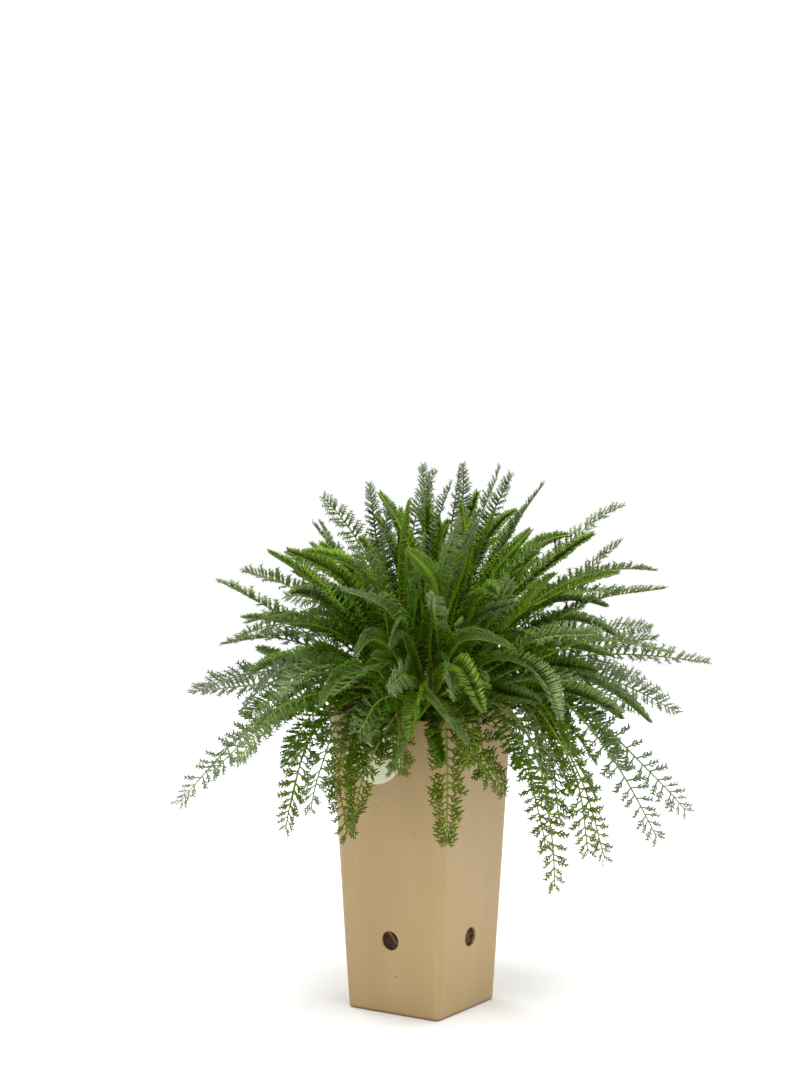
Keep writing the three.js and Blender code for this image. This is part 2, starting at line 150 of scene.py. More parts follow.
def coat(
    tree: Tree, shader: dict, relief: Socket | None = None, strength: float = 0, depth: float = 0
) -> None:
    """Closes a finish with its shader, and with a fine relief where it has one.

    Args:
        tree: The finish's node tree.
        shader: The shader's sockets by name.
        relief: The pattern of the relief's height.
        strength: How strongly the relief shows, from 0 to 1.
        depth: How deep it is in millimetres.
    """
    if relief is not None:
        bump = add_node(tree, "Bump", {"Height": relief, "Strength": strength, "Distance": depth * MM})
        shader = shader | {"Normal": bump.outputs["Normal"]}
    surface = add_node(tree, "BsdfPrincipled", shader)
    add_node(tree, "OutputMaterial", {"Surface": surface.outputs["BSDF"]})


def unit(vectors: np.ndarray) -> np.ndarray:
    """Scales vectors, held in the last axis, to length 1."""
    return vectors / np.linalg.norm(vectors, axis=-1, keepdims=True)


def about_z(turn: float) -> np.ndarray:
    """The matrix that turns rows of points about Z, by a turn in radians."""
    along, aside = math.cos(turn), math.sin(turn)
    return np.array([[along, aside, 0.0], [-aside, along, 0.0], [0.0, 0.0, 1.0]])


def shell_faces(rings: int, sides: int) -> np.ndarray:
    """Lists the triangles of a closed shell of rings that ends in a tip.

    Args:
        rings: How many rings it has.
        sides: How many points each ring has, turning anticlockwise about the shell's way.

    Returns:
        Triangles as rows of point numbers; the tip is the point after the last ring.
    """
    faces = [(0, j + 1, j) for j in range(1, sides - 1)]
    for ring, j in product(range(rings - 1), range(sides)):
        a, b = ring * sides + j, ring * sides + (j + 1) % sides
        faces += [(a, b, b + sides), (a, b + sides, a + sides)]
    last, tip = (rings - 1) * sides, rings * sides
    faces += [(last + j, last + (j + 1) % sides, tip) for j in range(sides)]
    return np.array(faces)


def icosahedron() -> tuple[np.ndarray, np.ndarray]:
    """Makes the plain lump that crumbs are shaped from.

    Returns:
        Its 12 points, at 1 from its middle, and its triangles.
    """
    golden = (1 + math.sqrt(5)) / 2
    signs = product(range(3), (golden, -golden), (-1.0, 1.0))
    corners = [np.roll((short, long, 0.0), turn) for turn, long, short in signs]
    edge = 2.001  # its edges are 2 long before it is scaled, and its next longer distances 2 * golden
    faces = []
    for trio in combinations(range(len(corners)), 3):
        triangle = np.array([corners[number] for number in trio])
        if np.linalg.norm(triangle - np.roll(triangle, 1, axis=0), axis=1).max() < edge:
            faces.append(trio if np.linalg.det(triangle) > 0 else trio[::-1])
    return unit(np.array(corners)), np.array(faces)


class ShellMesh:
    """Closed shells gathered for one piece, in millimetres, with a paleness on each point."""

    def __init__(self) -> None:
        """Starts with no shells."""
        self.points: list[np.ndarray] = []
        self.faces: list[np.ndarray] = []
        self.paleness: list[np.ndarray] = []
        self.slots: list[np.ndarray] = []
        self.count = 0

    def add(self, points: np.ndarray, faces: np.ndarray, paleness: np.ndarray, slot: int = 0) -> None:
        """Adds shells.

        Args:
            points: Their points, one a row.
            faces: Their triangles, numbered from their own first point.
            paleness: How pale each point is, from 0 to 1.
            slot: The material slot that they take.
        """
        self.points.append(points)
        self.faces.append(faces + self.count)
        self.paleness.append(paleness)
        self.slots.append(np.full(len(faces), slot))
        self.count += len(points)

    def to_object(self, name: str, materials: list[bpy.types.Material]) -> bpy.types.Object:
        """Turns the shells into a smooth-shaded Blender object.

        Args:
            name: The piece's name.
            materials: Its finishes, in the order of the slots.

        Returns:
            The object, in the scene.
        """
        points, faces = np.concatenate(self.points) * MM, np.concatenate(self.faces)
        mesh = bpy.data.meshes.new(name)
        mesh.vertices.add(len(points))
        mesh.vertices.foreach_set("co", points.astype(np.float32).ravel())
        mesh.loops.add(faces.size)
        mesh.loops.foreach_set("vertex_index", faces.astype(np.int32).ravel())
        mesh.polygons.add(len(faces))
        mesh.polygons.foreach_set("loop_start", np.arange(0, faces.size, 3, dtype=np.int32))
        mesh.update(calc_edges=True)
        mesh.polygons.foreach_set("material_index", np.concatenate(self.slots).astype(np.int32))
        mesh.polygons.foreach_set("use_smooth", np.ones(len(faces), dtype=bool))
        pale = mesh.attributes.new("paleness", "FLOAT", "POINT")
        pale.data.foreach_set("value", np.concatenate(self.paleness).astype(np.float32))
        return place(name, mesh, materials)


def place(name: str, mesh: bpy.types.Mesh, materials: list[bpy.types.Material]) -> bpy.types.Object:
    """Puts a mesh into the scene as an object.

    Args:
        name: The piece's name.
        mesh: Its mesh, in metres.
        materials: Its finishes.

    Returns:
        The object.
    """
    for material in materials:
        mesh.materials.append(material)
    piece = bpy.data.objects.new(name, mesh)
    bpy.context.scene.collection.objects.link(piece)
    return piece


def ring_mesh(name: str, rings: list[np.ndarray], crease: float = CREASE) -> bpy.types.Mesh:
    """Makes a closed mesh through rings of equally many points, with a flat face at each end.

    Args:
        name: The mesh's name.
        rings: The rings, in millimetres, each turning anticlockwise about the way from first to last.
        crease: Edges sharper than this, in degrees, stay sharp.

    Returns:
        The mesh, in metres.
    """
    sides = len(rings[0])
    faces = [list(reversed(range(sides)))]
    for ring, j in product(range(len(rings) - 1), range(sides)):
        a, b = ring * sides + j, ring * sides + (j + 1) % sides
        faces.append([a, b, b + sides, a + sides])
    faces.append(list(range((len(rings) - 1) * sides, len(rings) * sides)))
    mesh = bpy.data.meshes.new(name)
    mesh.from_pydata((np.concatenate(rings) * MM).tolist(), [], faces)
    mesh.polygons.foreach_set("use_smooth", [True] * len(mesh.polygons))
    mesh.set_sharp_from_angle(angle=math.radians(crease))
    return mesh


# ---- Finishes -----------------------------------------------------------------------------------------

WHOLE = (0.0, 1.0)  # a pattern that is itself the share that its colour covers


@dataclass(frozen=True)
class LeafFinish:
    """A living leaf, finely haired: painted shade in the crown's heart; far out greyer with hairs, and a
    painted sheen.
    """

    name: str
    blade: str  # most of the leaflets
    shade: str  # the darker patches of the leaflets
    tip: str  # the leaflets far out from the crown's heart: hairier and greyer, with a painted sheen
    rib: str  # the midrib and stalk, and the painted highlight on the lobes' tips
    heart_shade: str = "#143000"  # painted shade in the crown's heart, where leaves shade each other
    heart_shade_zone: tuple[float, float] = (105.0, 30.0)  # mm from the heart, from no painted shade to all
    tip_zone: tuple[float, float] = (95.0, 165.0)  # mm from the heart, from no tip colour to all
    patch_size: float = 14.0  # mm between darker patches
    patch_edge: tuple[float, float] = (0.38, 0.62)  # of the patches' noise, from shade to blade
    hair_size: float = 0.9  # mm between hairs, drawn coarser than the real 0.2 mm so that they show

    def material(self) -> bpy.types.Material:
        """Makes the finish.

        Returns:
            The material.
        """
        material, tree, spot = start_finish(self.name)
        noises = [
            add_node(tree, "TexNoise", {"Vector": spot, "Scale": per_metre(size), "Detail": detail})
            for size, detail in ((self.patch_size, 3.0), (self.hair_size, 2.0))
        ]
        patches, hairs = (texture.outputs["Fac"] for texture in noises)
        middle = tuple(MM * part for part in HEART)
        far = add_node(tree, "VectorMath", {0: spot, 1: middle}, operation="DISTANCE").outputs["Value"]
        pale = add_node(tree, "Attribute", attribute_name="paleness").outputs["Fac"]
        layers = (
            (patches, self.patch_edge, self.blade),
            # Painted shade: deep green near the crown's heart, where the leaves shade each other.
            (far, metres(self.heart_shade_zone), self.heart_shade),
            # Greyer far out, for hairier leaves, with a painted sheen where the hairs catch the light.
            (far, metres(self.tip_zone), self.tip),
            # Pale midribs and stalks, and the painted highlight on the lobes' tips.
            (pale, WHOLE, self.rib),
        )
        colour = paint(tree, self.shade, layers)
        shader = {"Base Color": colour, "Roughness": 0.65, "IOR": 1.4, "Specular IOR Level": 0.06}
        coat(tree, shader, hairs, strength=0.35, depth=0.15)
        return material


class Growth(Enum):
    """How far on a leaf is, which sets its green: young in the heart, then full grown, weathered, shaded."""

    YOUNG = LeafFinish(
        "young yarrow leaf",
        blade="#4a7e00",
        shade="#2e5c00",
        tip="#6c8846",
        rib="#b4cc3c",
        tip_zone=(100.0, 185.0),
    )
    FULL = LeafFinish(
        "full-grown yarrow leaf",
        blade="#427602",
        shade="#2a5600",
        tip="#7c8a68",
        rib="#9cb238",
    )
    WEATHERED = LeafFinish(
        "weathered yarrow leaf",
        blade="#4a6c28",
        shade="#365618",
        tip="#7e8a72",
        rib="#8ea058",
    )
    SHADED = LeafFinish(
        "shaded yarrow leaf",
        blade="#667e1a",
        shade="#506610",
        tip="#6e7c3e",
        rib="#9aa64a",
        # Its painted shade near the heart stays light olive, for these leaves hang out over the pot.
        heart_shade="#566c14",
    )


@dataclass(frozen=True)
class MouldedFibrePlastic:
    """Injection-moulded plastic filled with plant fibre: matte tan, with pale and dark fibre specks."""

    body: str = "#b0966a"
    cloud: str = "#a2885a"  # where the fibre lies denser
    pale_speck: str = "#c8b58a"
    dark_speck: str = "#6a5435"
    foot: str = "#7c5e38"  # a painted contact shadow along the edge it stands on
    cloud_size: float = 22.0  # mm
    flow: tuple[float, float, float] = (1.0, 1.0, 0.22)  # stretches the clouds upwards, as fibres lie upright
    pale_spacing: float = 6.0  # mm between places for pale specks
    pale_rarity: float = 0.74  # the share of those places that stay empty
    dark_spacing: float = 8.4
    dark_rarity: float = 0.8
    speck_edge: tuple[float, float] = (0.1, 0.06)  # shares of the spacing, from outside a speck to inside
    askew: tuple[float, float, float] = (0.6, 0.4, 0.9)  # radians; keeps specks from lying in rows
    contact_shadow_zone: tuple[float, float] = (2.4, 0.4)  # mm above the foot, from no painted shadow to full
    grain_size: float = 0.7  # mm between the pits of the mould's grain

    def specks(self, tree: Tree, spot: Socket, spacing: float, rarity: float) -> Socket:
        """Draws scattered specks.

        Args:
            tree: The node tree.
            spot: The place on the piece.
            spacing: The millimetres between places for specks.
            rarity: The share of places that stay empty.

        Returns:
            A socket that is 1 on a speck and 0 elsewhere.
        """
        outside, inside = self.speck_edge
        cells = add_node(tree, "TexVoronoi", {"Vector": spot, "Scale": per_metre(spacing)})
        limits = {"Value": cells.outputs["Distance"], "From Min": outside, "From Max": inside}
        near = add_node(tree, "MapRange", limits).outputs["Result"]
        chosen = add_node(tree, "Math", {0: cells.outputs["Color"], 1: rarity}, operation="GREATER_THAN")
        return add_node(tree, "Math", {0: near, 1: chosen.outputs[0]}, operation="MULTIPLY").outputs[0]

    def material(self) -> bpy.types.Material:
        """Makes the finish.

        Returns:
            The material.
        """
        material, tree, spot = start_finish("moulded fibre-filled plastic")
        drawn = add_node(tree, "Mapping", {"Vector": spot, "Scale": self.flow}).outputs["Vector"]
        cloudy = {"Vector": drawn, "Scale": per_metre(self.cloud_size), "Detail": 4.0}
        clouds = add_node(tree, "TexNoise", cloudy).outputs["Fac"]
        turned = add_node(tree, "Mapping", {"Vector": spot, "Rotation": self.askew}).outputs["Vector"]
        height = add_node(tree, "SeparateXYZ", {0: spot}).outputs["Z"]
        layers = (
            (clouds, WHOLE, self.body),
            (self.specks(tree, turned, self.pale_spacing, self.pale_rarity), WHOLE, self.pale_speck),
            (self.specks(tree, turned, self.dark_spacing, self.dark_rarity), WHOLE, self.dark_speck),
            # Painted contact shadow along the edge that the pot stands on.
            (height, metres(self.contact_shadow_zone), self.foot),
        )
        colour = paint(tree, self.cloud, layers)
        grainy = {"Vector": spot, "Scale": per_metre(self.grain_size), "Detail": 3.0}
        grain = add_node(tree, "TexNoise", grainy).outputs["Fac"]
        shader = {"Base Color": colour, "Roughness": 0.44, "IOR": 1.46}
        coat(tree, shader, grain, strength=0.12, depth=0.1)
        return material


@dataclass(frozen=True)
class PottingSoil:
    """Damp peat and bark: near-black brown with lighter crumbs, dull all over."""

    dark: str = "#211206"
    light: str = "#5c3c1e"
    crumb_size: float = 2.2  # mm
    crumb_edge: tuple[float, float] = (0.35, 0.75)  # of the crumbs' noise, from dark to light

    def material(self) -> bpy.types.Material:
        """Makes the finish.

        Returns:
            The material.
        """
        material, tree, spot = start_finish("damp potting soil")
        crumbly = {"Vector": spot, "Scale": per_metre(self.crumb_size), "Detail": 6.0}
        crumbs = add_node(tree, "TexNoise", crumbly).outputs["Fac"]
        colour = paint(tree, self.dark, ((crumbs, self.crumb_edge, self.light),))
        coat(tree, {"Base Color": colour, "Roughness": 0.93}, crumbs, strength=0.7, depth=0.8)
        return material


@dataclass(frozen=True)
class RootBark:
    """The skin of thin roots: dull and matte, mid brown with darker streaks."""

    pale: str = "#7c5c3a"
    dark: str = "#523620"
    streak_size: float = 3.0  # mm

    def material(self) -> bpy.types.Material:
        """Makes the finish.

        Returns:
            The material.
        """
        material, tree, spot = start_finish("brown yarrow roots")
        streaky = {"Vector": spot, "Scale": per_metre(self.streak_size), "Detail": 4.0}
        streaks = add_node(tree, "TexNoise", streaky).outputs["Fac"]
        colour = paint(tree, self.dark, ((streaks, WHOLE, self.pale),))
        coat(tree, {"Base Color": colour, "Roughness": 0.8})
        return material


@dataclass(frozen=True)
class LabelPaper:
    """Uncoated cream sticker paper: even and matte, with a faint fibre mottle."""

    paper: str = "#e2e0c2"
    mottle: str = "#d8d5b2"
    mottle_size: float = 3.0  # mm

    def material(self) -> bpy.types.Material:
        """Makes the finish.

        Returns:
            The material.
        """
        material, tree, spot = start_finish("cream label paper")
        mottled = {"Vector": spot, "Scale": per_metre(self.mottle_size), "Detail": 5.0}
        fibres = add_node(tree, "TexNoise", mottled).outputs["Fac"]
        colour = paint(tree, self.mottle, ((fibres, WHOLE, self.paper),))
        coat(tree, {"Base Color": colour, "Roughness": 0.6}, fibres, strength=0.1, depth=0.1)
        return material


# ---- Pot, soil and label ------------------------------------------------------------------------------


@dataclass
class Pot:
    """The tall square nursery pot: a thin shell with soft corners, a rounded rim and four drain holes."""

    height: float = 200.0
    top_side: float = 93.0
    foot_side: float = 71.0
    top_corner: float = 11.0  # radius of the upright corners, at the top and at the foot
    foot_corner: float = 4.0
    least_corner: float = 0.8
    wall: float = 1.6
    floor: float = 3.0
    foot_edge: float = 1.8  # radius of the rounded edge round the foot
    drain_diameter: float = 13.0
    drain_height: float = 50.0
    drain_points: int = 64
    corner_points: int = 10
    side_points: int = 14
    foot_steps: int = 4
    rim_steps: int = 6
    wall_rows: int = 30
    bulge: float = 0.35  # how far the moulded sides waver, where they are bulge_reach from the axis
    bulge_reach: float = 45.0
    bulge_size: tuple[float, float] = (30.0, 80.0)  # between wavers, across and upwards
    finish: MouldedFibrePlastic = MouldedFibrePlastic()

    @property
    def lean(self) -> float:
        """How far a side leans outwards, in radians."""
        return math.atan2((self.top_side - self.foot_side) / 2, self.height)

    def side_at(self, z: float) -> float:
        """The outer width at a height."""
        return self.foot_side + (self.top_side - self.foot_side) * z / self.height

    def ring(self, z: float, inset: float) -> np.ndarray:
        """The rounded square at a height, with the sides' slight waver.

        Args:
            z: The height.
            inset: How far inside the outer surface it runs.

        Returns:
            Its points, anticlockwise from above.
        """
        share = z / self.height
        corner = self.foot_corner + (self.top_corner - self.foot_corner) * share - inset
        corner = max(corner, self.least_corner)
        reach = self.side_at(z) / 2 - inset - corner
        arc = np.arange(self.corner_points + 1) / self.corner_points * math.radians(90)
        rounded = np.stack([reach + corner * np.cos(arc), reach + corner * np.sin(arc), 0 * arc], axis=1)
        end, begin = rounded[-1], rounded[0] @ about_z(math.radians(90))
        steps = np.arange(1, self.side_points)[:, None] / self.side_points
        quarter = np.concatenate([rounded, end + (begin - end) * steps])
        points = np.concatenate([quarter @ about_z(math.radians(90 * turn)) for turn in range(4)])
        across, upwards = self.bulge_size
        waver = self.bulge * math.sin(math.pi * min(share, 1.0)) / self.bulge_reach
        push = [noise.noise(Vector((x / across, y / across, z / upwards))) for x, y, _ in points]
        return points * (1 + waver * np.array(push))[:, None] + (0, 0, z)

    def rings(self) -> list[np.ndarray]:
        """Draws the shell: out over the foot, up outside, over the rim and down inside to the floor.

        Returns:
            Its rings, in that order.
        """
        edge, lip = self.foot_edge, self.wall / 2
        rim = self.height - lip
        under = np.linspace(0, math.radians(90), self.foot_steps + 1)
        over = np.linspace(0, math.radians(180), self.rim_steps + 1)
        places = [(edge * (1 - math.cos(turn)), edge * (1 - math.sin(turn))) for turn in under]
        places += [(z, 0.0) for z in np.linspace(edge, rim, self.wall_rows + 1)[1:-1]]
        places += [(rim + lip * math.sin(turn), lip * (1 - math.cos(turn))) for turn in over]
        places += [(z, self.wall) for z in np.linspace(rim, self.floor, self.wall_rows + 1)[1:]]
        return [self.ring(z, inset) for z, inset in places]

    def drill_drains(self, pot: bpy.types.Object) -> None:
        """Cuts a round drain hole low in the middle of each side.

        Args:
            pot: The pot's shell, which is changed.
        """
        for turn in (0, 90):
            bpy.ops.mesh.primitive_cylinder_add(
                vertices=self.drain_points,
                radius=self.drain_diameter / 2 * MM,
                depth=2 * self.top_side * MM,
                location=(0, 0, self.drain_height * MM),
                rotation=(math.radians(90), 0, math.radians(turn)),
            )
            drill = bpy.context.object
            cut = pot.modifiers.new("drain", "BOOLEAN")
            cut.operation = "DIFFERENCE"
            cut.object = drill
            shaped = bpy.data.meshes.new_from_object(pot.evaluated_get(bpy.context.evaluated_depsgraph_get()))
            pot.modifiers.clear()
            pot.data = shaped
            bpy.data.objects.remove(drill)

    def build(self) -> None:
        """Makes the pot and dresses it."""
        pot = place("moulded_pot", ring_mesh("moulded_pot", self.rings()), [self.finish.material()])
        self.drill_drains(pot)
        pot.data.set_sharp_from_angle(angle=math.radians(CREASE))
        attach(pot, "root")
        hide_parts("pot")
        LOG.info("pot: %d faces", len(pot.data.polygons))


@dataclass
class Roots:
    """Thin roots pressed against the pot's four sides, where the drain holes show them."""

    pot: Pot
    depth: float  # how far inside the pot's outer surface they lie
    a_side: int = 7  # the first is a thick one that crosses the drain hole
    radius: float = 0.55
    thick: float = 2.4  # how much thicker the first is
    thinning: float = 0.6  # how much thinner a root is at its tip
    step: float = 2.2
    steps: int = 14
    sides: int = 5
    first_above: float = 12.0  # where the first starts, above the drain hole's middle
    first_aside: float = -4.0
    first_rise: float = -1.25  # radians above level
    heights: tuple[float, float] = (28.0, 62.0)  # where the others start
    asides: tuple[float, float] = (-24.0, -6.0)
    rise: float = 0.9  # radians; how steeply the others may start, up or down
    wander: float = 0.25  # radians; how far a root turns at each step

    def route(self, root: int, rng: np.random.Generator) -> np.ndarray:
        """Draws a root's way over its side.

        Args:
            root: Its number on its side.
            rng: The random draws.

        Returns:
            Its places aside of the side's middle, their heights and how steeply it rises there, one a row.
        """
        if root:
            z = rng.uniform(*self.heights)
            x = rng.uniform(*self.asides)
            rise = rng.uniform(-self.rise, self.rise)
        else:
            z, x, rise = self.pot.drain_height + self.first_above, self.first_aside, self.first_rise
        route = []
        for _ in range(self.steps + 1):
            x += self.step * math.cos(rise)
            z += self.step * math.sin(rise)
            rise += rng.uniform(-self.wander, self.wander)
            route.append((x, z, rise))
        return np.array(route)

    def grow(self, mesh: ShellMesh, rng: np.random.Generator, slot: int) -> None:
        """Makes the roots.

        Args:
            mesh: The mesh that gets them.
            rng: The random draws.
            slot: Their material slot.
        """
        faces = shell_faces(self.steps, self.sides)
        angles = np.arange(self.sides)[:, None] * math.tau / self.sides
        for turn, root in product(range(4), range(self.a_side)):
            facing = about_z(math.radians(90 * turn))
            out, level = (0.0, -1.0, 0.0) @ facing, (1.0, 0.0, 0.0) @ facing
            rings = []
            for step, (x, z, rise) in enumerate(self.route(root, rng)):
                centre = out * (self.pot.side_at(z) / 2 - self.depth) + level * x + (0, 0, z)
                way = level * math.cos(rise) + (0, 0, math.sin(rise))
                side = np.cross(out, way)
                half = self.radius * (1 - self.thinning * step / self.steps) * (1.0 if root else self.thick)
                rings.append(centre + half * (np.cos(angles) * side + np.sin(angles) * np.cross(way, side)))
            points = np.concatenate(rings[:-1] + [rings[-1].mean(axis=0, keepdims=True)])
            mesh.add(points, faces, np.zeros(len(points)), slot)


@dataclass
class RootBall:
    """The soil that fills the pot: crumbly on top, with roots pressed against the sides."""

    pot: Pot
    top: float = SOIL_TOP
    gap: float = 1.0  # between the soil and the pot's wall
    foot_gap: float = 0.4
    side_rings: int = 40
    top_rings: int = 34
    rough: float = 1.6  # how far the top rises and falls
    rough_size: float = 4.0
    fine_rough: float = 0.5  # the share of a finer roughness, and how much finer it is
    fineness: float = 2.7
    crumbs: int = 420
    crumb_size: tuple[float, float] = (0.6, 2.2)  # half a crumb's length
    crumb_width: tuple[float, float] = (0.5, 1.0)  # shares of its length
    crumb_height: tuple[float, float] = (0.35, 0.8)
    crumb_dents: tuple[float, float] = (0.75, 1.2)  # how far its corners stand out
    crumb_lift: float = 0.6
    crumb_margin: float = 5.0  # the soil's edge that stays free of crumbs
    root_sink: float = 0.25  # how far the roots stand out of the soil's side
    finish: PottingSoil = PottingSoil()
    root_finish: RootBark = RootBark()

    def roughen(self, ring: np.ndarray) -> np.ndarray:
        """Moves a ring's points up and down.

        Args:
            ring: The points.

        Returns:
            The moved points.
        """
        rough = ring.copy()
        for point in rough:
            spot = Vector(point) / self.rough_size
            point[2] += self.rough * (noise.noise(spot) + self.fine_rough * noise.noise(spot * self.fineness))
        return rough

    def rings(self) -> list[np.ndarray]:
        """Draws the body, from its foot up the sides and in over the top.

        Returns:
            Its rings, in that order.
        """
        foot, inset = self.pot.floor + self.foot_gap, self.pot.wall + self.gap
        rings = [self.pot.ring(z, inset) for z in np.linspace(foot, self.top, self.side_rings)]
        scales = 1 - np.arange(1, self.top_rings) / self.top_rings
        return rings + [self.roughen(rings[-1] * (scale, scale, 1.0)) for scale in scales]

    def scatter_crumbs(self, mesh: ShellMesh, rng: np.random.Generator) -> None:
        """Scatters bark and peat crumbs over the top.

        Args:
            mesh: The mesh that gets them.
            rng: The random draws.
        """
        half = self.pot.side_at(self.top) / 2 - self.pot.wall - self.crumb_margin
        lump, faces = icosahedron()
        for _ in range(self.crumbs):
            length = rng.uniform(*self.crumb_size)
            size = length * np.array([1.0, rng.uniform(*self.crumb_width), rng.uniform(*self.crumb_height)])
            facing = about_z(rng.uniform(0, math.tau))
            shape = lump * rng.uniform(*self.crumb_dents, (len(lump), 1)) * size @ facing
            spot = (rng.uniform(-half, half), rng.uniform(-half, half), self.top + self.crumb_lift)
            mesh.add(shape + spot, faces, np.zeros(len(lump)))

    def build(self) -> None:
        """Makes the root ball and dresses it."""
        rng = np.random.default_rng(DETAIL_SEED)
        soil = place("root_ball", ring_mesh("root_ball", self.rings(), crease=180), [self.finish.material()])
        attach(soil, "root")
        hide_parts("soil")
        LOG.info("root ball: %d faces", len(soil.data.polygons))
        loose = ShellMesh()
        self.scatter_crumbs(loose, rng)
        Roots(self.pot, self.pot.wall + self.gap - self.root_sink).grow(loose, rng, slot=1)
        bits = loose.to_object("crumbs_and_roots", [soil.data.materials[0], self.root_finish.material()])
        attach(bits, "root")
        LOG.info("crumbs and roots: %d faces", len(bits.data.polygons))


@dataclass
class Label:
    """The round sticker high on the pot's -Y side, blank, with a softly cut edge."""

    pot: Pot
    diameter: float = 43.0
    thickness: float = 0.4
    gap: float = 0.3
    height: float = 176.0
    aside: float = -8.0
    bevel: float = 0.12
    sides: int = 96
    finish: LabelPaper = LabelPaper()

    def build(self) -> None:
        """Makes the label and dresses it."""
        outline = np.arange(self.sides)[:, None] * math.tau / self.sides
        lean = self.pot.lean
        outwards = np.array([0.0, -math.cos(lean), -math.sin(lean)])
        upwards = np.array([0.0, -math.sin(lean), math.cos(lean)])
        circle = np.cos(outline) * (1, 0, 0) - np.sin(outline) * upwards
        foot = np.array([self.aside, -self.pot.side_at(self.height) / 2, self.height]) + outwards * self.gap
        lifts = (0.0, self.bevel, self.thickness - self.bevel, self.thickness)
        insets = (self.bevel, 0.0, 0.0, self.bevel)
        rings = [
            foot + circle * (self.diameter / 2 - inset) + outwards * lift
            for lift, inset in zip(lifts, insets)
        ]
        label = place("paper_label", ring_mesh("paper_label", rings), [self.finish.material()])
        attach(label, "root")
        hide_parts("label")
        LOG.info("label: %d faces", len(label.data.polygons))


# ---- Leaflets -----------------------------------------------------------------------------------------

Shell = tuple[np.ndarray, np.ndarray]  # a three-sided shell's points, and how pale each of them is
TEMPLATES_A_HABIT = 5


